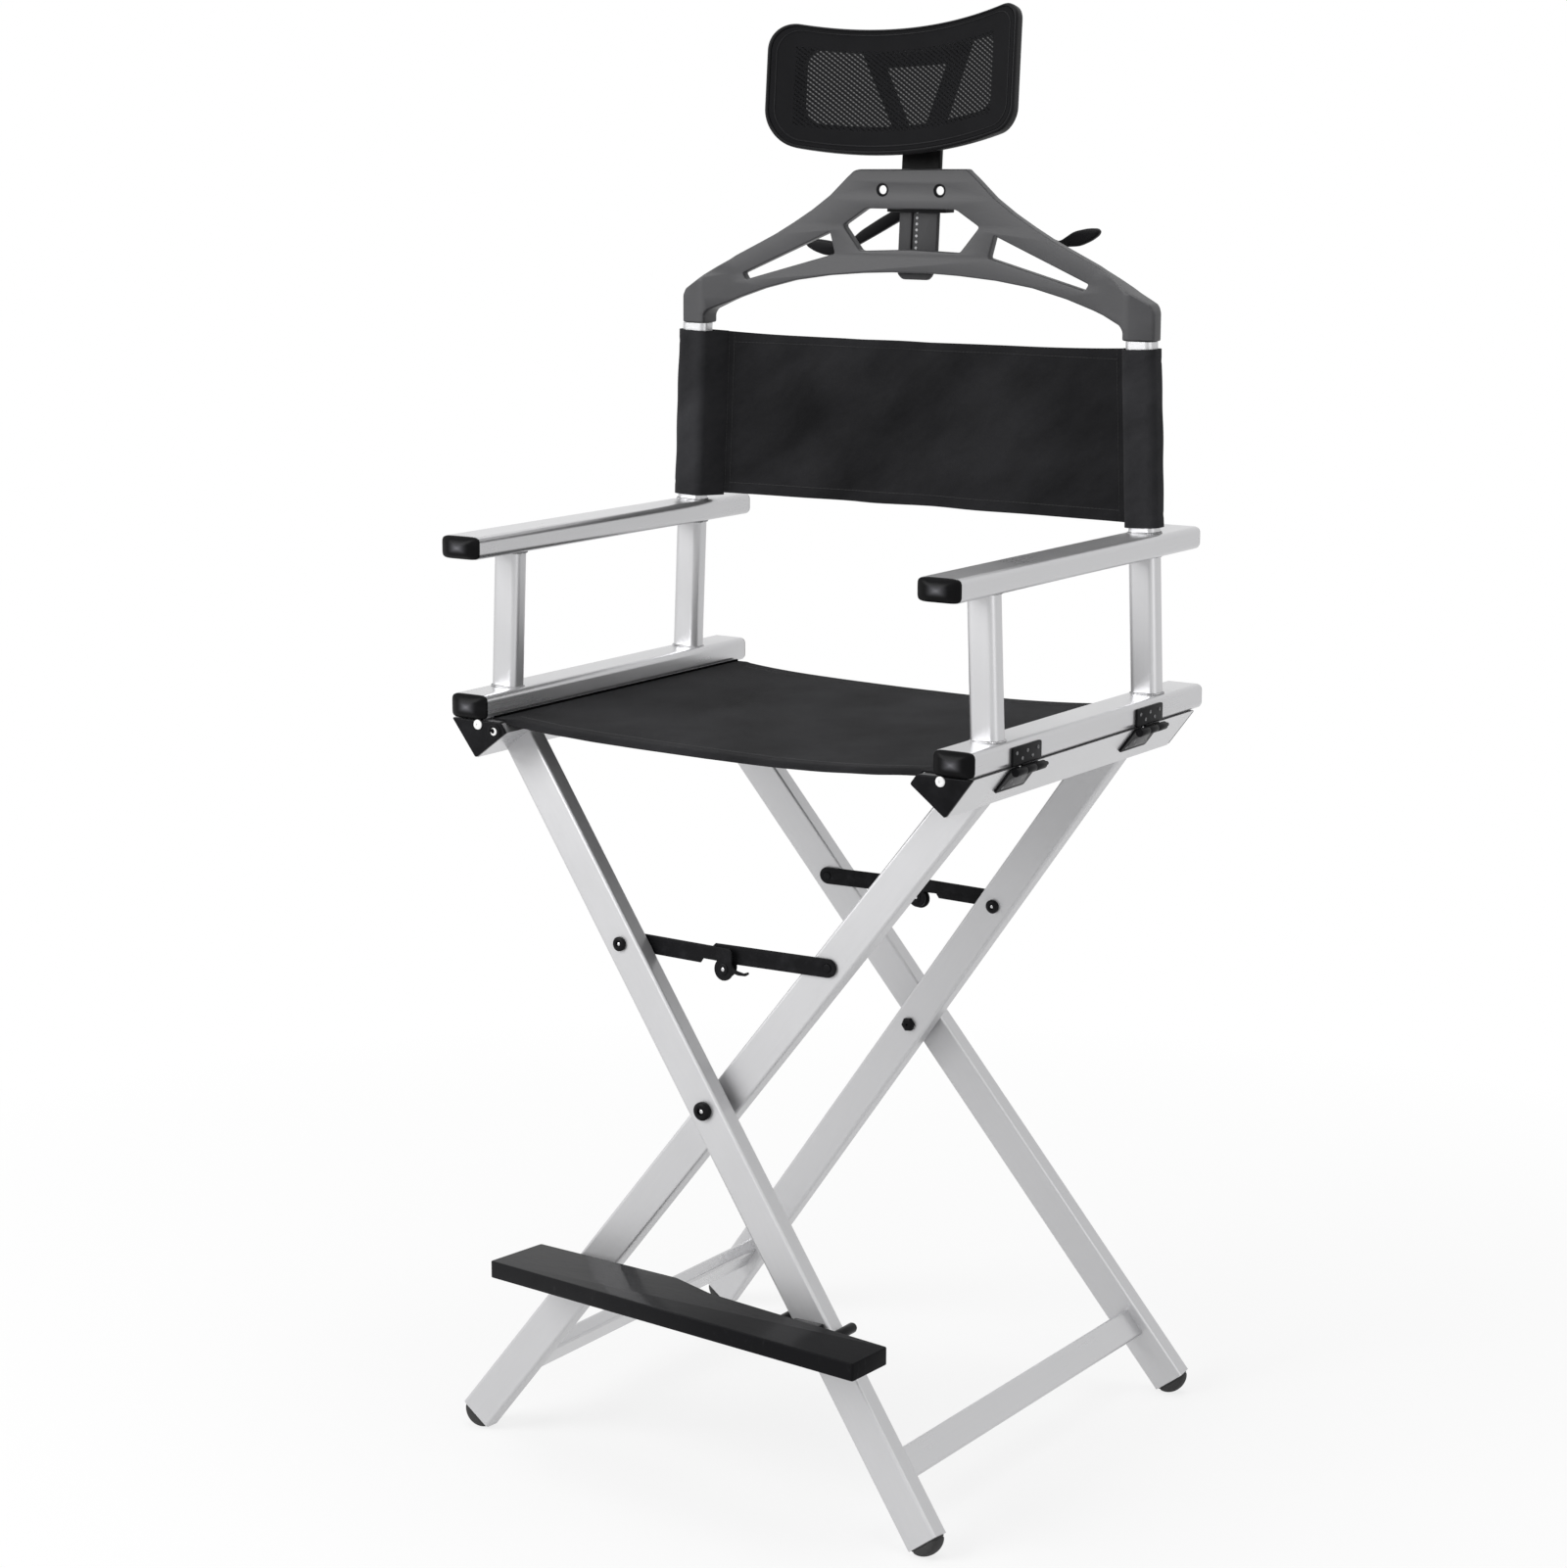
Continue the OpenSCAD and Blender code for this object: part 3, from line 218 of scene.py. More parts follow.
class Finish:
    """One material, with its Principled shader and the patterns that feed it."""

    def __init__(self, name, colour, rough, metal=0.0, gloss=0.5, sheen=0.0):
        self.material = bpy.data.materials.new(name)
        self.material.use_nodes = True
        self.tree = self.material.node_tree
        self.shader = self.tree.nodes["Principled BSDF"]
        self.colour = tuple(colour)
        for socket, value in (("Base Color", self.colour), ("Roughness", rough), ("Metallic", metal),
                              ("Specular IOR Level", gloss), ("Coat Roughness", 0.12),
                              ("Sheen Weight", sheen), ("Sheen Roughness", 0.5)):
            self.shader.inputs[socket].default_value = value
        self.material.diffuse_color = self.colour

    def node(self, kind, settings=None, *values, out=0, **named):
        """Adds a node of that kind; settings first, then its sockets in order or by name."""
        made = self.tree.nodes.new(kind)
        for key, value in (settings or {}).items():
            setattr(made, key, value)
        for key, value in list(enumerate(values)) + [(k.replace("_", " "), v) for k, v in named.items()]:
            self._feed(made.inputs[key], value)
        return Wire(self, made.outputs[out])

    def _feed(self, socket, value):
        if isinstance(value, Wire):
            self.tree.links.new(value.socket, socket)
        else:
            socket.default_value = value

    def feed(self, name, value):
        """Gives a socket of the Principled shader a value or a wire."""
        self._feed(self.shader.inputs[name], value)
        return self

    def place(self, turn=(0, 0, 0), scale=(1, 1, 1)):
        """Object coordinates, turned by degrees and then scaled."""
        here = self.node("ShaderNodeTexCoord", out=3)
        turned = self.node("ShaderNodeMapping", {"vector_type": "POINT"}, here, (0, 0, 0),
                           tuple(math.radians(a) for a in turn), (1, 1, 1))
        return self.node("ShaderNodeVectorMath", {"operation": "MULTIPLY"}, turned, tuple(scale))

    def cloth_place(self):
        """The two distances along the cloth, in metres, from its UV map."""
        return self.parts(self.node("ShaderNodeUVMap", {"uv_map": "UVMap"}))[:2]

    def parts(self, vector):
        """The three parts of a vector."""
        split = self.tree.nodes.new("ShaderNodeSeparateXYZ")
        self._feed(split.inputs[0], vector)
        return [Wire(self, o) for o in split.outputs]

    def noise(self, vector, scale, detail, rough):
        return self.node("ShaderNodeTexNoise", {"noise_dimensions": "3D"}, Vector=vector, Scale=scale,
                         Detail=detail, Roughness=rough)

    def tint(self, amount, light, dark):
        """Base colour between two multiples of the finish's colour."""
        mixed = self.tree.nodes.new("ShaderNodeMix")
        mixed.data_type = "RGBA"
        self._feed(mixed.inputs[0], amount)
        mixed.inputs[6].default_value = tuple(min(1, c * dark) for c in self.colour[:3]) + (1,)
        mixed.inputs[7].default_value = tuple(min(1, c * light) for c in self.colour[:3]) + (1,)
        self.tree.links.new(mixed.outputs[2], self.shader.inputs["Base Color"])
        return self

    def relief(self, height, depth, strength):
        """Bump: height from 0 to 1 stands depth metres high."""
        bump = self.tree.nodes.new("ShaderNodeBump")
        bump.inputs["Strength"].default_value = strength
        bump.inputs["Distance"].default_value = depth
        self._feed(bump.inputs["Height"], height)
        self.tree.links.new(bump.outputs[0], self.shader.inputs["Normal"])
        return self


def colours():
    return bpy.context.scene.chair_colours


def tube_finish(name, turn, rough=0.24, metal=0.8):
    """Satin anodised aluminium: fine lines along the tube, and faint handling marks."""
    f = Finish(name, colours().tube, 0.3, metal=metal, gloss=0.5)
    lines = f.noise(f.place(turn, (1, 1, 0.01)), 420, 2, 0.5)
    marks = f.noise(f.place(), 9, 2, 0.5)
    f.tint(lines * 0.4 + marks * 0.6, 1.05, 0.95)
    f.feed("Roughness", rough + lines * 0.06 + marks.ramp(0.35, 0.75) * 0.06)
    f.relief(lines, 0.000015, 0.3)
    return f.material


def grained(name, colour, fine, broad, tones, rough, relief, stretch=((1, 1, 1), (1, 1, 1)), **kind):
    """A finish of two noises, each with its scale, detail and roughness. The fine one stands up from
    the surface, and the broad one, through its ramp if it has one, goes from the dark to the light
    tone. Roughness is a level and how much the fine and the broad noise add to it."""
    f = Finish(name, colour, rough[0], **kind)
    grain = f.noise(f.place(scale=stretch[0]), *fine)
    flow = f.noise(f.place(scale=stretch[1]), *broad[:3])
    f.tint(flow.ramp(*broad[3:]) if broad[3:] else flow, *tones)
    f.feed("Roughness", rough[0] + (grain * rough[1] if rough[1] else flow * rough[2]))
    f.relief(grain, *relief)
    return f.material


def weld_finish():
    """Weld metal: rippled, with soot along the seam."""
    return grained("weld_bead", colours().tube, (260, 2, 0.4), (90, 4, 0.6, 0.3, 0.7), (0.8, 0.3),
                   (0.38, 0.2, 0), (0.0004, 0.8), metal=0.8)


def steel_finish():
    """Bright plated steel with turning lines."""
    return grained("bright_steel", colours().steel, (1400, 2, 0.5), (70, 4, 0.6), (1.1, 0.85),
                   (0.18, 0.16, 0), (0.00001, 0.5), ((1, 0.05, 1), (1, 1, 1)), metal=1.0)


def dull_steel_finish():
    """Small screws, dulled and half covered by the hinge's black coat."""
    return grained("dull_steel", (0.16, 0.16, 0.165, 1), (500, 4, 0.6), (500, 4, 0.6, 0.35, 0.65),
                   (1.6, 0.4), (0.34, 0.2, 0), (0.00006, 0.6), metal=0.8)


def black_metal_finish():
    """Black coated steel: orange-peel coat, rubbed a little lighter in broad patches."""
    return grained("black_coated_steel", colours().black_metal, (900, 2, 0.5), (55, 5, 0.65, 0.5, 0.8),
                   (2.2, 0.9), (0.3, 0, 0.18), (0.00006, 0.5), gloss=0.06)


def plastic_finish():
    """Injection-moulded plastic with a fine spark-eroded grain."""
    return grained("grained_plastic", colours().plastic, (1500, 2, 0.5), (40, 5, 0.6, 0.4, 0.8),
                   (1.9, 0.8), (0.24, 0, 0.1), (0.00001, 0.4), gloss=0.05)


def moulding_finish(name, colour, gloss):
    """Moulded nylon with a fine grain and slight flow marks."""
    return grained(name, colour, (1100, 3, 0.55), (14, 4, 0.6), (1.3, 0.8), (0.34, 0, 0.14),
                   (0.00008, 0.6), ((1, 1, 1), (1, 1, 2.5)), gloss=gloss)


def welt_finish():
    """Tightly sewn welt at the seat's sides, painted near black as the shade in the gap between seat and arm
    rail.
    """
    return grained("welt_cloth", (0.002, 0.002, 0.0022, 1), (700, 3, 0.5), (700, 3, 0.5), (2.0, 0.6),
                   (0.88, 0.1, 0), (0.0002, 0.6), ((1, 3, 1), (1, 3, 1)), gloss=0.0)


def thread_finish():
    """Twisted sewing thread."""
    return grained("sewing_thread", colours().cloth, (2600, 2, 0.5), (2600, 2, 0.5), (1.5, 0.7),
                   (0.5, 0.2, 0), (0.0002, 0.7), gloss=0.3, sheen=0.1)


def cap_finish():
    """Soft black plastic of the arms' end caps, with a painted highlight at the crown of each bulge."""
    f = Finish("cap_plastic", (0.006, 0.006, 0.0065, 1), 0.3, gloss=0.05)
    grain = f.noise(f.place(), 1500, 2, 0.5)
    wear_and_highlight = f.noise(f.place(), 60, 4, 0.6)
    # painted highlight: the crown of each bulge is painted up to 26 times lighter, standing in for the
    # lamp's shine there; the noise also adds a few paler wear specks
    crown = f.cloth_place()[1].ramp(0.5, 1.0)
    f.tint(crown * crown * (0.75 + wear_and_highlight * 0.5) + wear_and_highlight.ramp(0.5, 0.8) * 0.02, 26.0, 0.8)
    f.feed("Roughness", 0.26 + wear_and_highlight * 0.1)
    f.relief(grain, 0.00001, 0.4)
    return f.material


def rubber_finish():
    """Matt rubber, dusty and scuffed near the floor."""
    f = Finish("foot_rubber", colours().plastic, 0.62, gloss=0.15)
    grain = f.noise(f.place(), 800, 3, 0.6)
    dust = f.noise(f.place(), 30, 5, 0.65)
    height = f.parts(f.place())[2]
    scuff = dust.ramp(0.45, 0.75) * (1 - height.ramp(0.004, 0.03))
    f.tint(scuff * 0.6 + dust * 0.2, 4.0, 0.8)
    f.feed("Roughness", 0.52 + dust * 0.2)
    f.relief(grain, 0.0001, 0.5)
    return f.material


def stem_finish():
    """The stem's strap: grained nylon, grey below, with painted shade that turns it black where it becomes
    the headrest's neck.
    """
    f = Finish("stem_nylon", (0.045, 0.045, 0.047, 1), 0.4, gloss=0.09)
    grain = f.noise(f.place(), 1100, 3, 0.55)
    flow = f.noise(f.place(scale=(2, 2, 1)), 22, 4, 0.6)
    height = f.parts(f.place())[2]
    # painted shade: above about 1.24 m the strap is darkened to a tenth, for the shade under the headrest
    f.tint((1 - height.ramp(1.236, 1.246)) * (0.8 + flow * 0.3), 1.15, 0.1)
    f.feed("Roughness", 0.36 + flow * 0.14)
    f.relief(grain, 0.00006, 0.5)
    return f.material


def footrest_finish():
    """Glossy black board with faint polishing swirls and shoe scuffs, and a stronger coat over its left half
    as painted reflection, where the board is lit brighter.
    """
    f = Finish("footrest_gloss", colours().plastic, 0.4, gloss=0.02)
    streaks = f.noise(f.place((0, 0, 8), (1, 12, 1)), 30, 5, 0.6)
    scuffs = f.noise(f.place((0, 0, -20), (1, 5, 1)), 60, 6, 0.7)
    f.tint(scuffs.ramp(0.6, 0.8), 3.0, 1.0)
    f.feed("Roughness", 0.34 + streaks * 0.12 + scuffs.ramp(0.55, 0.8) * 0.18)
    # painted reflection: the coat is strongest over the board's left half, which is lit brighter
    painted_reflection = 1 - f.parts(f.place())[0].ramp(-0.08, 0.08)
    f.feed("Coat Weight", 0.025 + painted_reflection * (0.11 + streaks * 0.12))
    f.relief(streaks, 0.00003, 0.4)
    return f.material


def canvas_finish(name="sling_canvas", painted_light=1.0):
    """Plain-woven sling canvas: threads over and under, slubs, a little lint, and broad slanting blotches of
    painted shade and light for the shading of its soft folds.
    """
    sizes = bpy.context.scene.chair_sizes
    # painted light: a copy made lighter by this factor serves for the sleeves round the posts
    colour = tuple(painted_light * c for c in colours().cloth[:3]) + (1,)
    f = Finish(name, colour, 0.85, gloss=0.05, sheen=0.03)
    u, v = f.cloth_place()
    turns = math.pi / sizes.thread
    warp, weft = (u * turns).sine(), (v * turns).sine()
    over = (warp * weft) > 0.0
    weave = over * warp.size() + (1 - over) * weft.size()
    place = f.place()
    slub = f.noise(place, 160, 4, 0.6)
    # painted shade and light: broad slanting blotches, lighter and darker, that stand in for the shading of
    # the cloth's folds
    blotches = f.noise(f.place((0, 35, 20), (1, 1.3, 2.4)), 7, 4, 0.55)
    lint = f.noise(place, 900, 1, 0.5)
    f.tint(weave * 0.22 + slub * 0.18 + blotches.ramp(0.34, 0.68) * 0.6 + lint.ramp(0.72, 0.8) * 0.6,
           2.3, 0.55)
    f.feed("Roughness", 0.82 + weave * 0.1)
    f.relief(weave * 0.7 + slub * 0.5, 0.0003, 0.8)
    return f.material


def mesh_finish():
    """Spacer mesh of the headrest: rows of small holes between knitted threads."""
    sizes = bpy.context.scene.chair_sizes
    colour = tuple(0.7 * c for c in colours().cloth[:3]) + (1,)
    f = Finish("headrest_mesh", colour, 0.8, gloss=0.03, sheen=0.02)
    u, v = f.cloth_place()
    turns = 2 * math.pi / sizes.mesh_pitch
    rows = ((u * 0.6 + v * 0.8) * turns).sine()
    cross = ((v * 0.8 - u * 0.6) * turns).sine()
    rise = v - (u * u * (4 / HEAD_W ** 2 / MM ** 2) - 0.56) * (HEAD_SMILE * MM)
    half_w, half_h, edge = 0.111, 0.038, 0.002
    window = (1 - u.size().ramp(half_w, half_w + edge)) * (1 - rise.size().ramp(half_h, half_h + edge))
    gap = rows.ramp(0.0, 0.75) * (0.5 + cross.ramp(-0.7, 0.8) * 0.5) * window
    blotches = f.noise(f.place(), 30, 3, 0.6)
    f.tint(blotches * 0.7 + (1 - gap) * 0.3, 1.5, 0.8)
    f.feed("Alpha", 1 - gap * 0.42)
    f.relief(1 - gap, 0.00012, 0.6)
    f.material.surface_render_method = "DITHERED"
    return f.material


FINISHES = {
    "tube_level": lambda: tube_finish("tube_level", (90, 0, 0)),
    "tube_upright": lambda: tube_finish("tube_upright", (0, 0, 0), 0.3),
    "tube_leg_a": lambda: tube_finish("tube_leg_a", (0, TILT, 0), 0.34, 0.6),
    "tube_leg_b": lambda: tube_finish("tube_leg_b", (0, -TILT, 0), 0.34, 0.6),
    "weld_bead": weld_finish,
    "bright_steel": steel_finish,
    "black_coated_steel": black_metal_finish,
    "grained_plastic": plastic_finish,
    "cap_plastic": cap_finish,
    "foot_rubber": rubber_finish,
    "moulded_nylon": lambda: moulding_finish("moulded_nylon", colours().moulding, 0.3),
    "dark_nylon": lambda: moulding_finish("dark_nylon", colours().dark_moulding, 0.08),
    "stem_nylon": stem_finish,
    "welt_cloth": welt_finish,
    "pale_marks": lambda: moulding_finish("pale_marks", (0.34, 0.34, 0.35, 1), 0.3),
    "worn_leaf": lambda: moulding_finish("worn_leaf", (0.055, 0.055, 0.057, 1), 0.2),
    "pale_plug": lambda: moulding_finish("pale_plug", (0.82, 0.82, 0.82, 1), 0.5),
    "dull_steel": dull_steel_finish,
    "footrest_gloss": footrest_finish,
    "sling_canvas": canvas_finish,
    # the sleeves: the sling canvas painted 1.7 times lighter, painted light on the sleeves round the posts
    "sleeve_canvas": lambda: canvas_finish("sleeve_canvas", 1.7),
    "sewing_thread": thread_finish,
    "headrest_mesh": mesh_finish,
}


def finish(name):
    """The material of that name, made when it is first asked for."""
    return bpy.data.materials.get(name) or FINISHES[name]()


# Hand work: one function for each thing that is done by hand

def clear():
    """Leaves edit mode and selects nothing."""
    active = bpy.context.view_layer.objects.active
    if active and active.mode != "OBJECT":
        bpy.ops.object.mode_set(mode="OBJECT")
    bpy.ops.object.select_all(action="DESELECT")


def only(obj):
    """Selects that piece alone."""
    clear()
    obj.select_set(True)
    bpy.context.view_layer.objects.active = obj
    return obj


def open_up(obj, kind="FACE"):
    """Edit mode on that piece alone, selecting faces, edges or corners."""
    only(obj)
    bpy.ops.object.mode_set(mode="EDIT")
    bpy.ops.mesh.select_mode(type=kind)
    bpy.ops.mesh.select_all(action="DESELECT")


def pick(obj, wanted):
    """In edit mode, selects the faces that wanted() says yes to."""
    mesh = bmesh.from_edit_mesh(obj.data)
    for face in mesh.faces:
        if wanted(face):
            face.select_set(True)
    mesh.select_flush_mode()
    bmesh.update_edit_mesh(obj.data)


def mend(obj):
    """Merges corners less than a hundredth of a millimetre apart and turns all faces outwards."""
    open_up(obj, "VERT")
    bpy.ops.mesh.select_all(action="SELECT")
    bpy.ops.mesh.remove_doubles(threshold=0.01 * MM)
    bpy.ops.mesh.normals_make_consistent(inside=False)
    bpy.ops.object.mode_set(mode="OBJECT")
    return obj


def soften(obj, width, steps=2, angle=35):
    """Rounds the sharp edges by width millimetres."""
    only(obj)
    bevel = obj.modifiers.new("rounding", "BEVEL")
    bevel.width, bevel.segments = width * MM, steps
    bevel.limit_method, bevel.angle_limit = "ANGLE", math.radians(angle)
    bpy.ops.object.modifier_apply(modifier=bevel.name)
    return obj


def settle(obj, matrix):
    """Moves the piece's mesh to its place and leaves the object at the origin."""
    only(obj)
    obj.matrix_world = matrix
    bpy.ops.object.transform_apply(location=True, rotation=True, scale=True)
    if matrix.determinant() < 0:
        mend(obj)
    return obj


def spread(pattern, places):
    """Copies the part to each place, each copy with its own mesh."""
    made = []
    for place in places:
        twin = pattern.copy()
        twin.data = pattern.data.copy()
        twin.name = pattern.name + "_part"
        bpy.context.scene.collection.objects.link(twin)
        made.append(settle(twin, place))
    return made


def discard(*patterns):
    """Takes away the parts that were only there to be copied."""
    for pattern in patterns:
        bpy.data.objects.remove(pattern)


def one(name, parts):
    """Joins the parts into one piece of that name."""
    clear()
    for p in parts:
        p.select_set(True)
    bpy.context.view_layer.objects.active = parts[0]
    if len(parts) > 1:
        bpy.ops.object.join()
    parts[0].name = name
    return parts[0]


def done(obj, body, look, replaces=(), angle=35):
    """Shades, paints and hangs a finished piece on its body."""
    only(obj)
    bpy.ops.object.shade_smooth_by_angle(angle=math.radians(angle))
    obj.data.materials.clear()
    obj.data.materials.append(finish(look))
    if body:
        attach(obj, body)
    if replaces:
        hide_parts(*replaces)
    return obj


def at(x, y, z):
    """Place in millimetres about the chair's middle, as a matrix in metres."""
    return Matrix.Translation((x * MM, y * MM, z * MM))


def turn(axis, degrees):
    """A turn about one of the axes."""
    return Matrix.Rotation(math.radians(degrees), 4, axis)


def hand(flip):
    """Mirror image for the left side."""
    return Matrix.Scale(-1, 4, (1, 0, 0)) if flip else Matrix.Identity(4)


def stand():
    """The chair's place in the frame, over the middle of its seat rails."""
    return Matrix.Translation((0, PLACE_Y, 0))


def tilted(flip):
    """The plane of one crossed frame: X across it, Z up along it, from the pivot."""
    return stand() @ hand(flip) @ at(0, 0, PIVOT_Z) @ turn("Y", TILT)


def on_leg(apart, side):
    """From the crossing to a leg's own axis; side is -1 in front and 1 at the rear."""
    return at(0, side * apart, 0) @ turn("X", side * SPLAY)


def rail_height(n):
    """Where the rail's level top is, n across the plane of its frame."""
    return (RAIL_TOP - PIVOT_Z + n * sind(TILT)) / cosd(TILT)


def rounded(w, h, r, steps=6):
    """Corners of a rounded rectangle about the origin, in millimetres."""
    points = []
    for kx, ky, start in ((1, 1, 0), (-1, 1, 90), (-1, -1, 180), (1, -1, 270)):
        for i in range(steps + 1):
            a = math.radians(start + 90 * i / steps)
            points.append((kx * (w / 2 - r) + r * math.cos(a), ky * (h / 2 - r) + r * math.sin(a)))
    return points


def circle(x, y, r, sides=24):
    """Corners of a circle."""
    return [(x + r * math.cos(2 * math.pi * i / sides), y + r * math.sin(2 * math.pi * i / sides))
            for i in range(sides)]


def eased(points, radius, steps=4):
    """A closed outline with its corners rounded where there is room."""
    result = []
    n = len(points)
    for i in range(n):
        a, b, c = (Vector(points[(i + k) % n]) for k in (-1, 0, 1))
        into, out = (a - b), (c - b)
        cut = min(radius, into.length * 0.45, out.length * 0.45)
        p, q = b + into.normalized() * cut, b + out.normalized() * cut
        for k in range(steps + 1):
            t = k / steps
            result.append(tuple((1 - t) ** 2 * p + 2 * t * (1 - t) * b + t * t * q))
    return result


def slab(name, outlines, thick, edge=0.5, steps=2):
    """A plate cut to closed outlines, the inner ones being holes, with rounded edges.
    It lies about its own middle plane, and all sizes are in millimetres."""
    clear()
    shape = bpy.data.curves.new(name, "CURVE")
    shape.dimensions, shape.fill_mode = "2D", "BOTH"
    shape.extrude = (thick / 2 - edge) * MM
    shape.bevel_depth, shape.bevel_resolution, shape.offset = edge * MM, steps, -edge * MM
    for points in outlines:
        line = shape.splines.new("POLY")
        line.points.add(len(points) - 1)
        for p, (x, y) in zip(line.points, points):
            p.co = (x * MM, y * MM, 0, 1)
        line.use_cyclic_u = True
    obj = bpy.data.objects.new(name, shape)
    bpy.context.scene.collection.objects.link(obj)
    only(obj)
    bpy.ops.object.convert(target="MESH")
    return mend(bpy.context.view_layer.objects.active)


def rod(name, radius, length, edge):
    """A turned rod along Z from 0, its end edges broken."""
    clear()
    bpy.ops.mesh.primitive_cylinder_add(vertices=32, radius=radius * MM, depth=length * MM,
                                        location=(0, 0, length / 2 * MM))
    obj = bpy.context.view_layer.objects.active
    obj.name = name
    bpy.ops.object.transform_apply(location=True)
    return soften(obj, edge)


def block(name, size, centre, edge, steps=3):
    """A moulded block with rounded edges."""
    clear()
    bpy.ops.mesh.primitive_cube_add(size=1)
    obj = bpy.context.view_layer.objects.active
    obj.name = name
    obj.scale = [s * MM for s in size]
    obj.location = [c * MM for c in centre]
    bpy.ops.object.transform_apply(location=True, scale=True)
    return soften(obj, edge, steps)


def bolt(name, radius, height, socket, sides=32):
    """A bolt head that sits on z = 0: chamfered crown with a round drive socket, whose radius is
    that share of the head's; 0 leaves it out."""
    chamfer, crown = 0.2, 0.16
    clear()
    bpy.ops.mesh.primitive_cylinder_add(vertices=sides, radius=radius * MM, depth=height * 0.72 * MM,
                                        location=(0, 0, height * 0.36 * MM))
    obj = bpy.context.view_layer.objects.active
    obj.name = name
    bpy.ops.object.transform_apply(location=True)
    open_up(obj)
    pick(obj, lambda f: f.normal.z > 0.9)
    bpy.ops.mesh.inset(thickness=radius * chamfer * MM)
    bpy.ops.transform.translate(value=(0, 0, height * 0.2 * MM))
    bpy.ops.mesh.inset(thickness=radius * crown * MM)
    bpy.ops.transform.translate(value=(0, 0, height * 0.08 * MM))
    if socket:
        bpy.ops.mesh.inset(thickness=radius * (1 - chamfer - crown - socket) * MM)
        bpy.ops.mesh.extrude_region_move(TRANSFORM_OT_translate={"value": (0, 0, -height * 0.45 * MM)})
        bpy.ops.mesh.inset(thickness=radius * 0.06 * MM)
    bpy.ops.object.mode_set(mode="OBJECT")
    return soften(obj, min(radius, height) * 0.06, 2, 30)


def surface(name, across, along, shape):
    """A grid whose point (u, v), each from 0 to 1, lies where shape(u, v) says, in millimetres.
    Its UV map keeps u and v."""
    clear()
    bpy.ops.mesh.primitive_grid_add(x_subdivisions=across, y_subdivisions=along, size=1, calc_uvs=True)
    obj = bpy.context.view_layer.objects.active
    obj.name = name
    for corner in obj.data.vertices:
        corner.co = Vector(shape(corner.co.x + 0.5, corner.co.y + 0.5)) * MM
    return mend(obj)


def measure_cloth(obj, width, length):
    """Makes the UV map run in metres over a cloth of that width and length (in mm)."""
    for point in obj.data.uv_layers.active.data:
        point.uv = (point.uv[0] * width * MM, point.uv[1] * length * MM)


def thicken(obj, thick):
    """Gives a cloth its thickness, in metres, half to each side."""
    only(obj)
    wall = obj.modifiers.new("cloth", "SOLIDIFY")
    wall.thickness, wall.offset = thick, 0.0
    bpy.ops.object.modifier_apply(modifier=wall.name)
    return obj


def crease(obj, places):
    """Cuts right through the piece at each x, in millimetres, so that it can be bent there."""
    open_up(obj, "VERT")
    for x in places:
        bpy.ops.mesh.select_all(action="SELECT")
        bpy.ops.mesh.bisect(plane_co=(x * MM, 0, 0), plane_no=(1, 0, 0))
    bpy.ops.object.mode_set(mode="OBJECT")
    return obj


def between(x, table):
    """Reads a value from a table of (x, value) pairs, straight between them."""
    if x <= table[0][0]:
        return table[0][1]
    for (x0, y0), (x1, y1) in zip(table, table[1:]):
        if x <= x1:
            return y0 + (y1 - y0) * (x - x0) / (x1 - x0)
    return table[-1][1]


def hull(points):
    """Corners of the convex outline round the points, anticlockwise."""
    ordered = sorted(set((round(x, 4), round(y, 4)) for x, y in points))

    def half(row):
        chain = []
        for p in row:
            while len(chain) > 1 and ((chain[-1][0] - chain[-2][0]) * (p[1] - chain[-2][1])
                                      - (chain[-1][1] - chain[-2][1]) * (p[0] - chain[-2][0])) <= 0:
                chain.pop()
            chain.append(p)
        return chain[:-1]
    return half(ordered) + half(ordered[::-1])


def evenly(outline, count):
    """Points at equal steps round a closed outline."""
    sides = [(Vector(a), Vector(b)) for a, b in zip(outline, outline[1:] + outline[:1])]
    step = sum((b - a).length for a, b in sides) / count
    points, ahead = [], 0.0
    for a, b in sides:
        length = (b - a).length
        while ahead < length - 1e-9 and len(points) < count:
            points.append(tuple(a.lerp(b, ahead / length)))
            ahead += step
        ahead -= length
    return points


def stitches(name, path, length, pitch=4.2, radius=0.4):
    """A row of thread that dips into the cloth between stitches.
    path(t) gives its place for t from 0 to 1."""
    count = max(3, int(length / pitch))

    def thread(u, v):
        here = Vector(path(u))
        ahead = Vector(path(min(1, u + 0.002))) - Vector(path(max(0, u - 0.002)))
        level = abs(ahead.normalized().z) < 0.7
        side = ahead.cross(Vector((0, 0, 1) if level else (0, 1, 0))).normalized()
        up = side.cross(ahead).normalized()
        swell = max(0.0, math.sin(math.pi * ((u * count) % 1.0))) ** 0.5
        a = 2 * math.pi * v
        return here + side * (radius * swell * math.cos(a)) + up * (radius * swell * math.sin(a))
    return surface(name, count * 6, 6, thread)


# Pieces: one operator for each group

class ChairOperator:
    """What the chair's operators share."""
    bl_options = {"REGISTER", "UNDO"}

    def execute(self, context):
        self.make(context.scene.chair_sizes)
        clear()
        return {"FINISHED"}


class CHAIR_OT_tubes(ChairOperator, bpy.types.Operator):
    """Gives the tubes, rails, posts and rods of the frame their metal finishes"""
    bl_idname = "chair.tubes"
    bl_label = "Tube finishes"

    def make(self, sizes):
        looks = {
            "leg_a_": "tube_leg_a", "leg_b_": "tube_leg_b", "top_rail_": "tube_level",
            "lower_rail_": "tube_level", "arm_rail_": "tube_level", "armrest_": "tube_level",
            "front_post_": "tube_upright", "back_post_": "tube_upright", "seat_rod_": "bright_steel",
            "tilt_pin": "bright_steel", "pivot_spacers": "grained_plastic"}
        for name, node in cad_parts.items():
            for start, look in looks.items():
                if name.startswith(start):
                    for slot in node.material_slots:
                        slot.material = finish(look)
                    if not node.material_slots:
                        node.data.materials.append(finish(look))


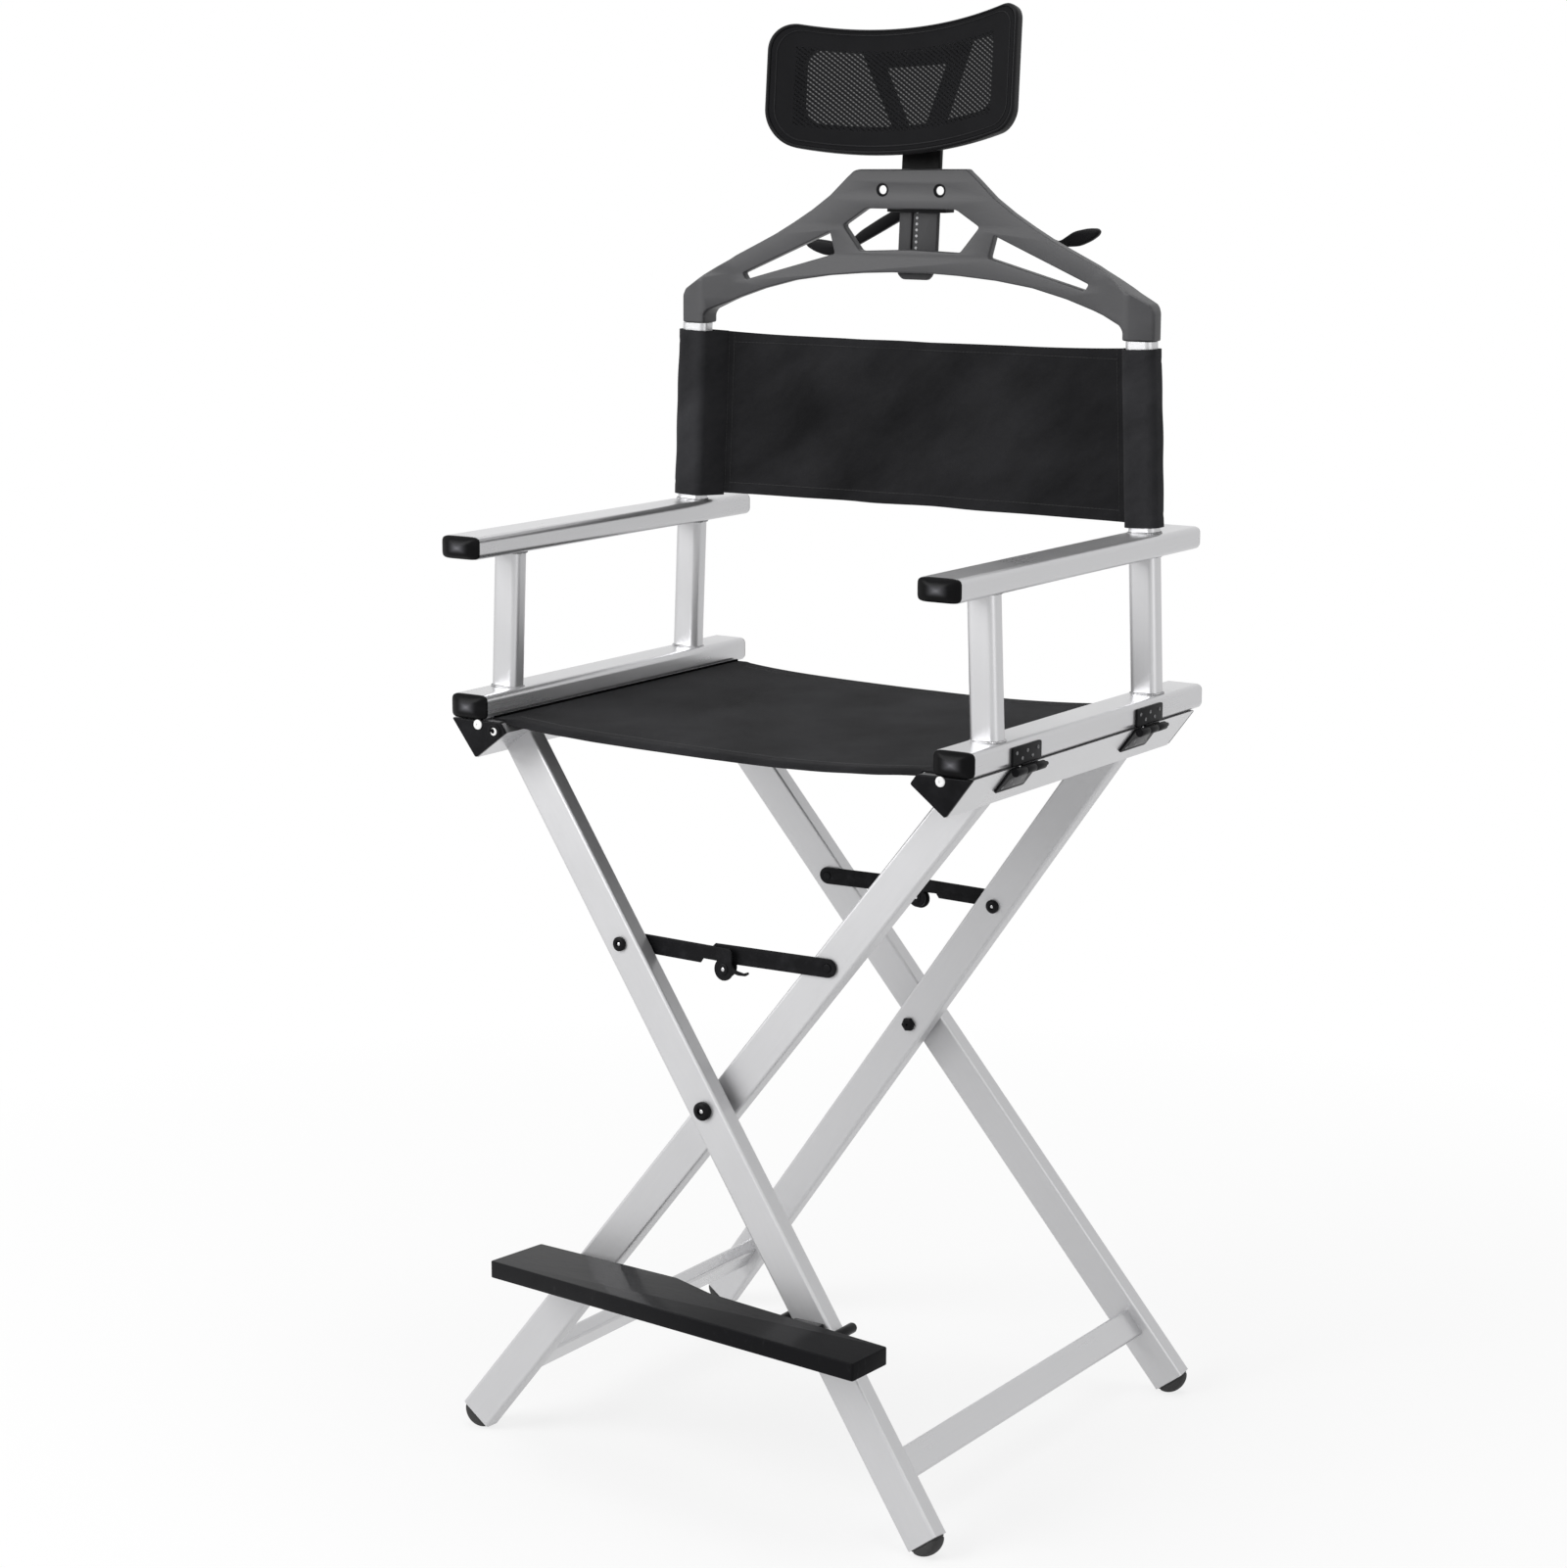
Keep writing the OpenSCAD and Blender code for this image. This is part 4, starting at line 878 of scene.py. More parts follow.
class CHAIR_OT_feet(ChairOperator, bpy.types.Operator):
    """Domed rubber feet in the lower ends of the legs"""
    bl_idname = "chair.feet"
    bl_label = "Feet"

    def make(self, sizes):
        half_w, half_t = LEG_W / 2, LEG_T / 2
        square = 7        # how square the leg's outline is; 2 would be an ellipse
        inner = 0.12      # the share of v that covers the hidden upper face

        def section(a):
            """Distance from the axis to the leg's rounded outline in the direction a."""
            c, s = abs(math.cos(a)), abs(math.sin(a))
            return 1 / ((c / half_w) ** square + (s / half_t) ** square) ** (1 / square)

        def foot(u, v):
            a = 2 * math.pi * u
            if v < inner:
                reach = section(a) * v / inner
                return reach * math.cos(a), reach * math.sin(a), 0.0
            drop = (FOOT_R - FOOT_IN) * math.sin((v - inner) / (1 - inner) * math.pi / 2)
            ball = math.sqrt(max(0.0, FOOT_R ** 2 - (FOOT_IN + drop) ** 2))
            reach = (section(a) ** -8 + ball ** -8) ** (-1 / 8) if ball > 0.01 else 0.0
            groove = 0.8 * math.exp(-((drop - 1.8) / 0.5) ** 2)
            reach = max(0.0, reach - groove)
            return reach * math.cos(a), reach * math.sin(a), -drop
        pattern = surface("foot", 72, 30, foot)
        for name, flip, apart in (("a", True, SPREAD_A), ("b", False, SPREAD_B)):
            feet = spread(pattern, [tilted(flip) @ on_leg(apart, side) @ at(0, 0, -LEG_DOWN)
                                    for side in (-1, 1)])
            done(one("rubber_feet_" + name, feet), "frame_" + name, "foot_rubber",
                 ["feet_" + name])
        discard(pattern)


class CHAIR_OT_fasteners(ChairOperator, bpy.types.Operator):
    """Crossing bolts, stay bolts and rivets, with bright steel cores on their socket floors as painted
    glints
    """
    bl_idname = "chair.fasteners"
    bl_label = "Bolts and rivets"

    SHANK_R = 4

    def both(self, part, y, way):
        """The part at the front and the rear crossing, y from the chair's middle."""
        made = spread(part, [tilted(True) @ at(0, side * y, 0) @ turn("X", side * way) for side in (-1, 1)])
        discard(part)
        return made

    def make(self, sizes):
        face_a, face_b = SPREAD_A + LEG_T / 2, SPREAD_B - LEG_T / 2
        out, inward = -90, 90
        parts = (self.both(bolt("pivot_head", 9, 6.0, 0.42), face_a + 0.3, out)
                 + self.both(rod("pivot_shank", self.SHANK_R, 42, 0.3), face_a + 1, inward)
                 + self.both(bolt("pivot_nut", 7.5, 4.5, 0.3, 6), face_b - 0.4, inward))
        # painted highlight: bright steel discs on the socket floors stand in for the glint of light in the
        # sockets
        cores = {"a": self.both(bolt("pivot_core", 2.1, 1.0, 0, 20), face_a + 3.9, out), "b": []}
        done(one("crossing_bolts", parts), "frame_a", "black_coated_steel", ["pivot_bolts"])

        head, end = bolt("stay_head", 7, 4.0, 0.4), bolt("stay_end", 3.9, 0.9, 0)
        core = bolt("stay_core", 1.7, 0.8, 0, 20)
        rows = (("a", True, SPREAD_A, ((-1, -1, LOBED_GAP), (1, 1, PLAIN_GAP))),
                ("b", False, SPREAD_B, ((-1, 1, PLAIN_GAP), (1, -1, LOBED_GAP))))
        for name, flip, apart, places in rows:
            parts = []
            for side, outward, gap in places:
                spot = tilted(flip) @ on_leg(apart, side) @ at(0, outward * LEG_T / 2, STAY_AT)
                out, through = spot @ turn("X", outward * -90), spot @ turn("X", outward * 90)
                depth = LEG_T + gap + STAY_T
                parts += spread(head, [out]) + spread(end, [through @ at(0, 0, depth - 0.1)])
                parts.append(settle(rod("stay_shank", self.SHANK_R, depth + 0.2, 0.3), through))
                cores[name] += spread(core, [out @ at(0, 0, 2.3)])
            done(one("bolt_cores_" + name, cores[name]), "frame_" + name, "bright_steel")
            done(one("stay_bolts_" + name + "_set", parts), "frame_" + name, "black_coated_steel",
                 ["stay_bolts_" + name])
        discard(head, end, core)

        for end, flip, apart, side, body in (("front", True, SPREAD_A, -1, "stay_front_left"),
                                             ("rear", False, SPREAD_B, 1, "stay_rear_right")):
            spot = (tilted(flip) @ on_leg(apart, side)
                    @ at(0, LEG_T / 2 + LOBED_GAP, STAY_AT) @ turn("X", 90) @ turn("Z", TILT)
                    @ at(-STAY_X, -STAY_DROP, 0))
            rivet = settle(bolt("stay_rivet_" + end, 5.5, LOBED_GAP - 0.4, 0.36), spot)
            done(rivet, body, "black_coated_steel", ["stay_rivets_" + end])
            # painted highlight: a bright steel disc in the rivet stands in for its glint
            core = settle(bolt("stay_rivet_core_" + end, 1.9, 0.8, 0, 20), spot @ at(0, 0, 0.35))
            done(core, body, "bright_steel")


class CHAIR_OT_stays(ChairOperator, bpy.types.Operator):
    """The four flat bars of the folding stays, two with a lobe and a hook"""
    bl_idname = "chair.stays"
    bl_label = "Stays"
    # the thumb catch, from the lobe's inner side
    CATCH = ((2.5, -1.5), (-6, -3.5), (-15, -3.0), (-19, -0.5), (-18, 1.5), (-13, -0.5), (-6, 0.5), (2.5, 3))

    def outline(self, lobed):
        half = STAY_H / 2
        cx, cy, r = -STAY_X, -STAY_DROP, STAY_LOBE
        points = [(half * math.cos(a), half * math.sin(a))
                  for a in (math.radians(90 - 180 * i / 16) for i in range(17))]
        if lobed:
            # a notch in the lower edge beside the lobe
            start = math.atan2(-4.5 - cy, math.sqrt(r * r - (-4.5 - cy) ** 2))
            stop = -math.pi - math.asin(6.3 / r)
            points += [(cx + 31, -half), (cx + 28, -half), (cx + 25, -4.5), (cx + r + 1, -4.5)]
            tail = [(cx - half, half - 3), (cx - half + 3, half)]
        else:
            start = math.atan2(-half - cy, math.sqrt(r * r - (-half - cy) ** 2))
            stop = -math.pi - math.asin(6.6 / r)
            tail = [(cx - 16, -5), (cx - 16, half - 3), (cx - 13, half)]
        for i in range(19):
            a = start + (stop - start) * i / 18
            points.append((cx + r * math.cos(a), cy + r * math.sin(a)))
        return [points + tail, circle(0, 0, 4.1)]

    def make(self, sizes):
        rows = (("stay_lobed_front", True, SPREAD_A, -1, 1, LOBED_GAP, True, "stay_front_left"),
                ("stay_plain_front", False, SPREAD_B, -1, -1, PLAIN_GAP, False, "stay_front_right"),
                ("stay_lobed_rear", False, SPREAD_B, 1, 1, LOBED_GAP, True, "stay_rear_right"),
                ("stay_plain_rear", True, SPREAD_A, 1, -1, PLAIN_GAP, False, "stay_rear_left"))
        for node, flip, apart, side, face, gap, lobed, body in rows:
            bar = slab(node + "_bar", self.outline(lobed), STAY_T, 0.7, 3)
            start = face * (LEG_T / 2 + gap + (STAY_T if face > 0 else 0))
            spot = (tilted(flip) @ on_leg(apart, side) @ at(0, start, STAY_AT) @ turn("X", 90)
                    @ turn("Z", TILT) @ at(0, 0, STAY_T / 2))
            if lobed:
                shape = [(-STAY_X - STAY_LOBE + x, -STAY_DROP + y) for x, y in self.CATCH]
                catch = settle(slab("catch", [eased(shape, 1.2)], 1.8, 0.5), at(0, 0, 0.2))
                bar = one(node + "_bar", [bar, catch])
            settle(bar, spot)
            done(bar, body, "black_coated_steel", [node])


class CHAIR_OT_hinges(ChairOperator, bpy.types.Operator):
    """Two hinges on each side, with screwed leaves, knuckles and a pin"""
    bl_idname = "chair.hinges"
    bl_label = "Arm hinges"

    HOLES = (7, 17, 26.5, 36, 46)
    ARM_LEAF_H, RAIL_LEAF_H = 17.2, 23.5

    def leaf(self, name, height, rises, spot, screw, screws):
        """A leaf at its spot; its screws stand at the two heights in turn and go onto the list."""
        plate = slab(name, [eased([(0, 0), (HINGE_L, 0), (HINGE_L, height), (0, height)], 2.5)], LEAF_T, 0.5)
        screws += spread(screw, [spot @ at(x, rises[i % 2], LEAF_T / 2 - 0.05)
                                 for i, x in enumerate(self.HOLES)])
        return settle(plate, spot)

    def make(self, sizes):
        third = HINGE_L / 3
        screw = bolt("screw", 1.8, 0.5, 0.4, 14)
        pin = rod("pin", 2, HINGE_L + 6.6, 0.9)
        for side, flip in (("left", True), ("right", False)):
            base = stand() @ hand(flip)
            rail = base @ at(0, 0, PIVOT_Z) @ turn("Y", TILT)
            arm_parts, rail_parts, pins, arm_screws, rail_screws, faces = [], [], [], [], [], []
            for y in HINGE_FRONTS:
                # the arm's leaf lies on the arm rail's outer side; its X runs rearward
                leaf_x = ARM_X + ARM_W / 2 + LEAF_T / 2
                spot = base @ at(leaf_x, y, HINGE_Z + 5.3) @ turn("Z", 90) @ turn("X", 90)
                arm_parts += [
                    self.leaf("arm_leaf", self.ARM_LEAF_H, (11.5, 5.5), spot, screw, arm_screws),
                    settle(rod("knuckle", KNUCKLE_R, third - 0.6, 0.5),
                           base @ at(HINGE_X, y + 2 * third - 0.3, HINGE_Z) @ turn("X", 90)),
                    settle(block("leaf_tab", (LEAF_T, third - 0.8, 6.5),
                                 (leaf_x, y + HINGE_L / 2, HINGE_Z + 3.6), 0.4, 2), base)]
                # the rail's leaf lies on the seat rail's outer side
                leaf_x = RAIL_OUT + LEAF_T / 2
                spot = rail @ at(leaf_x, y, rail_height(RAIL_OUT) - 29) @ turn("Z", 90) @ turn("X", 90)
                rail_parts.append(
                    self.leaf("rail_leaf", self.RAIL_LEAF_H, (6, 12), spot, screw, rail_screws))
                # a paler grey panel lies on the face of the rail's leaf
                shape = [(6, 4), (HINGE_L - 6, 4), (HINGE_L - 10, 17), (10, 17)]
                faces.append(settle(slab("leaf_face", [eased(shape, 2.5)], 0.5, 0.15, 1),
                                    spot @ at(0, 0, LEAF_T / 2)))
                for start in (0, 2 * third):
                    rail_parts += [
                        settle(rod("knuckle", KNUCKLE_R, third - 0.15, 0.5),
                               base @ at(HINGE_X, y + start + third, HINGE_Z) @ turn("X", 90)),
                        settle(block("leaf_tab", (LEAF_T, third - 0.5, 7),
                                     (leaf_x, y + start + third / 2, rail_height(RAIL_OUT) - 4), 0.4, 2),
                               rail)]
                pins += spread(pin, [base @ at(HINGE_X, y + HINGE_L + 6.8, HINGE_Z) @ turn("X", 90)])
            rail_body = "frame_a" if flip else "frame_b"
            for name, parts, body, look, slot, replaces in (
                    ("arm_hinge_leaves_", arm_parts, "arm_" + side, "black_coated_steel", "black_fitting",
                     ["hinge_arm_" + side]),
                    ("arm_hinge_screws_", arm_screws, "arm_" + side, "dull_steel", "fitting_steel", ()),
                    ("rail_hinge_leaves_", rail_parts, rail_body, "black_coated_steel", "black_fitting",
                     ["hinge_rail_" + side]),
                    ("rail_hinge_screws_", rail_screws, rail_body, "dull_steel", "fitting_steel", ()),
                    ("rail_hinge_faces_", faces, rail_body, "worn_leaf", "black_fitting", ()),
                    ("hinge_pin_set_", pins, rail_body, "black_coated_steel", "black_fitting",
                     ["hinge_pins_" + side])):
                done(one(name + side, parts), body, look, replaces)
        discard(screw, pin)


class CHAIR_OT_rail_caps(ChairOperator, bpy.types.Operator):
    """Angular plastic caps on the seat rails' ends, each with a bright screw in front"""
    bl_idname = "chair.rail_caps"
    bl_label = "Seat rail caps"

    def make(self, sizes):
        corners = [(-RAIL_IN, RAIL_FROM), (RAIL_OUT, RAIL_FROM), (RAIL_OUT, rail_height(RAIL_OUT)),
                   (-RAIL_IN, rail_height(-RAIL_IN))]
        for side, flip, body in (("left", True, "frame_a"), ("right", False, "frame_b")):
            front = settle(slab("cap_front", [eased(corners, 2.5)], 4, 1.1, 3),
                           tilted(flip) @ at(0, -RAIL_END - 2, 0) @ turn("X", 90))
            rear = settle(slab("cap_rear", [eased(corners, 2.5)], 3, 1.0, 3),
                          tilted(flip) @ at(0, RAIL_END + 1.5, 0) @ turn("X", 90))
            done(one("rail_end_caps_" + side, [front, rear]), body, "grained_plastic",
                 ["rail_caps_" + side])
            screw = bolt("cap_screw_" + side, 4.8, 1.6, 0.25, 28)
            settle(screw, tilted(flip) @ at(-2, -RAIL_END - 4, RAIL_FROM + 24) @ turn("X", 90))
            done(screw, body, "pale_plug")
        # the open end of the left seat rod shows in its black cloth loop, as a pale crescent that is partly
        # the rod's end and partly painted highlight
        spot = tilted(True) @ at(-15, -RAIL_END - 4, rail_height(-15) - 11.5) @ turn("X", 90)
        loop = slab("rod_loop", [circle(0, 0, 7.5, 32), circle(0, 0, 4.2, 24)], 3, 1.0, 3)
        settle(loop, spot @ at(0, 0, 0.9))
        done(loop, "frame_a", "sling_canvas")
        # painted highlight: the rod's end is an off-centre pale ring, a crescent where light catches the rod
        end = slab("rod_end_left", [circle(0.6, 0.8, 4.2, 28), circle(1.2, 1.6, 2.4, 20)], 1.4, 0.4, 2)
        settle(end, spot @ at(0, 0, 0.8))
        done(end, "frame_a", "pale_plug")


class CHAIR_OT_arm_caps(ChairOperator, bpy.types.Operator):
    """Bulged front caps and flat rear plugs of arm rail and armrest"""
    bl_idname = "chair.arm_caps"
    bl_label = "Arm caps"

    def bulge(self, w, h):
        """A cap on z = 0: a straight rim and then a crown, which takes up the rest of v."""
        straight, rim, crown = 0.15, 2.4, 5.6

        def cap(u, v):
            a = 2 * math.pi * u
            c, s = math.cos(a), math.sin(a)
            r = 1 / ((abs(c) / (w / 2)) ** 6 + (abs(s) / (h / 2)) ** 6) ** (1 / 6)
            if v < straight:
                return r * c, r * s, rim * v / straight
            k = 1 - (v - straight) / (1 - straight)
            return r * k * c, r * k * s, rim + crown * (1 - k ** 2.5)
        return surface("bulge", 64, 24, cap)

    def make(self, sizes):
        for side, flip in (("left", True), ("right", False)):
            base = stand() @ hand(flip)
            caps = []
            for x, z, w, h, front, rear in ((ARM_X, ARM_Z, ARM_W, ARM_H, ARM_FRONT, ARM_REAR),
                                            (REST_X, REST_Z, REST_W, REST_H, REST_FRONT, REST_REAR)):
                caps += [settle(self.bulge(w, h), base @ at(x, -front, z) @ turn("X", 90)),
                         settle(slab("plug", [rounded(w - 1, h - 1, 5.5)], 2, 0.7, 3),
                                base @ at(x, rear + 1, z) @ turn("X", 90))]
            done(one("arm_end_caps_" + side, caps), "arm_" + side, "cap_plastic",
                 ["arm_caps_" + side])


class CHAIR_OT_welds(ChairOperator, bpy.types.Operator):
    """Weld beads where the posts stand on the arm rails and meet the armrests"""
    bl_idname = "chair.welds"
    bl_label = "Weld beads"

    def bead(self):
        """A rippled bead round the outline of a post."""
        radius, ripples = 1.7, 26
        ring = rounded(POST_W, POST_T, 7, 8)
        count = len(ring)

        def around(u, v):
            i = u * count
            k, t = int(i) % count, i - int(i)
            p, q = Vector(ring[k]), Vector(ring[(k + 1) % count])
            here = p.lerp(q, t)
            out = Vector((q.y - p.y, p.x - q.x))
            out = out.normalized() if out.length else here.normalized()
            swell = radius * (1 + 0.14 * math.sin(2 * math.pi * ripples * u))
            a = 2 * math.pi * v
            spot = here + out * (swell * math.cos(a) * 0.9)
            return spot.x, spot.y, swell * math.sin(a) * 0.8
        return surface("bead", 208, 10, around)

    def make(self, sizes):
        pattern = self.bead()
        for side, flip in (("left", True), ("right", False)):
            places = [(y, z) for y in (-FRONT_POST, BACK_POST)
                      for z in (ARM_Z + ARM_H / 2, REST_Z - REST_H / 2)]
            beads = spread(pattern, [
                stand() @ hand(flip) @ at(ARM_X - (z - ARM_Z) * tand(ARM_LEAN), y, z) @ turn("Y", -ARM_LEAN)
                for y, z in places + [(BACK_POST, REST_Z + REST_H / 2)]])
            done(one("weld_beads_" + side, beads), "arm_" + side, "weld_bead")
        discard(pattern)


class CHAIR_OT_seat(ChairOperator, bpy.types.Operator):
    """Canvas seat over the rails, with sewn hems at its front and rear edges"""
    bl_idname = "chair.seat"
    bl_label = "Seat"

    def make(self, sizes):
        # half the free width, up to the upper inner edges of the rails
        half = rail_height(-RAIL_IN) * sind(TILT) - RAIL_IN * cosd(TILT) - 1.0
        sag = sizes.seat_sag / MM
        level = SEAT_LEVEL + sizes.cloth / MM / 2 + 0.15
        front, rear = SEAT_FRONT, SEAT_REAR
        hem = sizes.hem / MM

        def height(x, y):
            across = min(1.0, abs(x) / half)
            drop = sag * (1 - across ** 2.6)
            # strained cloth: faint folds fan out from the rails' front ends and run across the middle
            pull = math.sin(8 * math.pi * across + y / 37) * across ** 3 * (1 - across ** 8) \
                * math.exp(-((y - front) / 80) ** 2)
            ease = math.sin(y / 29 + 1.4 * math.sin(x / 70)) * (1 - across ** 4) * across ** 0.5
            broad = math.sin(x / 58 + 0.8 * math.sin(y / 66)) * (1 - across ** 4)
            return level - drop - 0.5 * pull - 0.55 * ease - 0.5 * broad

        def fold_down(y):
            """The front and rear edges turn down over the hem's thickness."""
            near = min(y - front, rear - y)
            turned = 4.5 if y - front < rear - y else 1.2
            return turned * max(0.0, 1 - near / 7) ** 2 - (0.45 if near < hem else 0.0)

        def cloth(u, v):
            x = SEAT_EDGE * (2 * u - 1)
            y = front + (rear - front) * (v - 0.022 * math.sin(2 * math.pi * v))
            return x, y, height(x, y) - (fold_down(y) if abs(x) < half - 2 else 0.0)
        seat = surface("seat_cloth", 110, 150, cloth)
        measure_cloth(seat, 2 * SEAT_EDGE, rear - front)
        thicken(seat, sizes.cloth)
        settle(seat, stand())
        done(seat, None, "sling_canvas", ["seat_sling"])
        ends = {"start": (-half * MM, PLACE_Y, RAIL_TOP * MM), "end": (half * MM, PLACE_Y, RAIL_TOP * MM)}
        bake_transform(seat)

        def seam(y):
            def path(t):
                x = (half - 1) * (2 * t - 1)
                return x, y, height(x, y) + sizes.cloth / MM / 2 + 0.1
            return path
        sewn = one("seat_stitches", [stitches("seat_stitches", seam(y), 2 * half)
                                     for y in (front + hem, rear - hem)])
        done(settle(sewn, stand()), None, "sewing_thread")
        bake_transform(sewn)
        # the welts' near-black is painted shade for the gap between the seat cloth and the arm rails
        welts, thick = [], 1.3
        for side, name, body in ((-1, "left", "frame_a"), (1, "right", "frame_b")):
            welt = surface("seat_welt_" + name, 100, 10, lambda u, v, k=side: (
                k * (SEAT_EDGE - 1.4) + thick * math.cos(2 * math.pi * v),
                front + 1 + (rear - front - 2) * u,
                level + 1.6 + thick * math.sin(2 * math.pi * v)))
            welts.append(done(settle(welt, stand()), body, "welt_cloth"))
        [sewn] + welts


class CHAIR_OT_back(ChairOperator, bpy.types.Operator):
    """Canvas back between the back posts, with a sewn sleeve round each post"""
    bl_idname = "chair.back"
    bl_label = "Back"

    def make(self, sizes):
        low, high = BACK_LOW + 1, BACK_HIGH - 1.5
        mid = (BACK_LOW + BACK_HIGH) / 2
        lean = tand(ARM_LEAN)

        def edge_at(z):
            return SEAM_X - (z - mid) * lean

        def depth(x, z):
            """Rearward place of the sheet, with its belly and the soft folds of slack cloth."""
            k = min(1.0, abs(x) / edge_at(z))
            free = 1 - k ** 4
            rise = z - mid
            y = SEAM_Y + 9 * (1 - k * k) ** 0.8
            y += 4.4 * free * math.sin((x + 1.5 * rise) / 27) * math.exp(-((x - 20) / 90) ** 2)
            y += 3.0 * free * math.sin((x - 1.3 * rise) / 19 + 1) * math.exp(-((x + 70) / 100) ** 2)
            y += 2.0 * free * math.sin((x + 0.7 * rise) / 33 + 2) * math.exp(-((rise + 40) / 45) ** 2)
            y += 0.9 * math.sin(rise / 15 + x / 60) * free * math.exp(-((abs(x) - 190) / 40) ** 2)
            return y

        def sheet(u, v):
            z = low + (high - low) * v
            x = edge_at(z) * (2 * u - 1)
            z -= 3.2 * v * v * (1 - (2 * u - 1) ** 4)
            near = min(z - low, high - z)
            hem = -0.35 if near < 11 else 0.0
            return x, depth(x, z) + hem, z
        back = surface("back_cloth", 160, 90, sheet)
        measure_cloth(back, 2 * SEAM_X, high - low)
        thicken(back, sizes.cloth)
        settle(back, stand())
        done(back, "arm_left", "sling_canvas", ["back_sling"])
        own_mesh(back)

        def on_sheet(x, z):
            return x, depth(x, z) - sizes.cloth / MM / 2 - 0.1, z
        rows = [stitches("back_stitches", lambda t, z=z: on_sheet((edge_at(z) - 9) * (2 * t - 1), z),
                         2 * SEAM_X) for z in (low + 11, high - 11)]
        for side in (-1, 1):
            for inside in (3.0, 9.0):
                def seam(t, side=side, inside=inside):
                    z = low + (high - low) * t
                    return on_sheet(side * (edge_at(z) - inside), z)
                rows.append(stitches("seam_stitches", seam, high - low))
        sewn = one("back_stitches", rows)
        settle(sewn, stand())
        done(sewn, "arm_left", "sewing_thread")
        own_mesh(sewn)

        ring, round_about = self.ring()
        count = len(ring)

        def sleeve(u, v):
            i = u * count
            k, t = int(i) % count, i - int(i)
            p = Vector(ring[k]).lerp(Vector(ring[(k + 1) % count]), t)
            z = (BACK_LOW - ARM_Z) + (BACK_HIGH - BACK_LOW) * v
            taut = min(1.0, max(0.0, (p.x + 32) / 20))
            folds = math.sin(v * 9 + 5 * u) + math.sin(21 * v + 3 * math.sin(7 * u))
            grow = 1 + taut * 0.012 * folds
            near = math.exp(-((v - 0.07) / 0.012) ** 2) + math.exp(-((v - 0.93) / 0.012) ** 2)
            grow -= 0.02 * near * taut
            return p.x * grow, p.y * grow, z
        for side, flip in (("left", True), ("right", False)):
            piece = surface("sleeve_cloth_" + side, count * 2, 80, sleeve)
            measure_cloth(piece, round_about, BACK_HIGH - BACK_LOW)
            thicken(piece, sizes.cloth)
            settle(piece, stand() @ hand(flip) @ at(ARM_X, BACK_POST, ARM_Z) @ turn("Y", -ARM_LEAN))
            done(piece, "arm_" + side, "sleeve_canvas", ["sleeve_" + side])
            round_about * MM

    def ring(self):
        """The sleeve's outline: taut round the post and drawn out to the seam behind it.
        Gives evenly spaced points and the length round them."""
        seam = (SEAM_X - ARM_X + ((BACK_LOW + BACK_HIGH) / 2 - ARM_Z) * tand(ARM_LEAN),
                SEAM_Y - BACK_POST)
        outline = hull(rounded(POST_W + 5.0, POST_T + 5.0, 8.5, 8) + circle(seam[0], seam[1], 1.1, 12))
        length = sum((Vector(a) - Vector(b)).length for a, b in zip(outline, outline[1:] + outline[:1]))
        return evenly(outline, 60), length


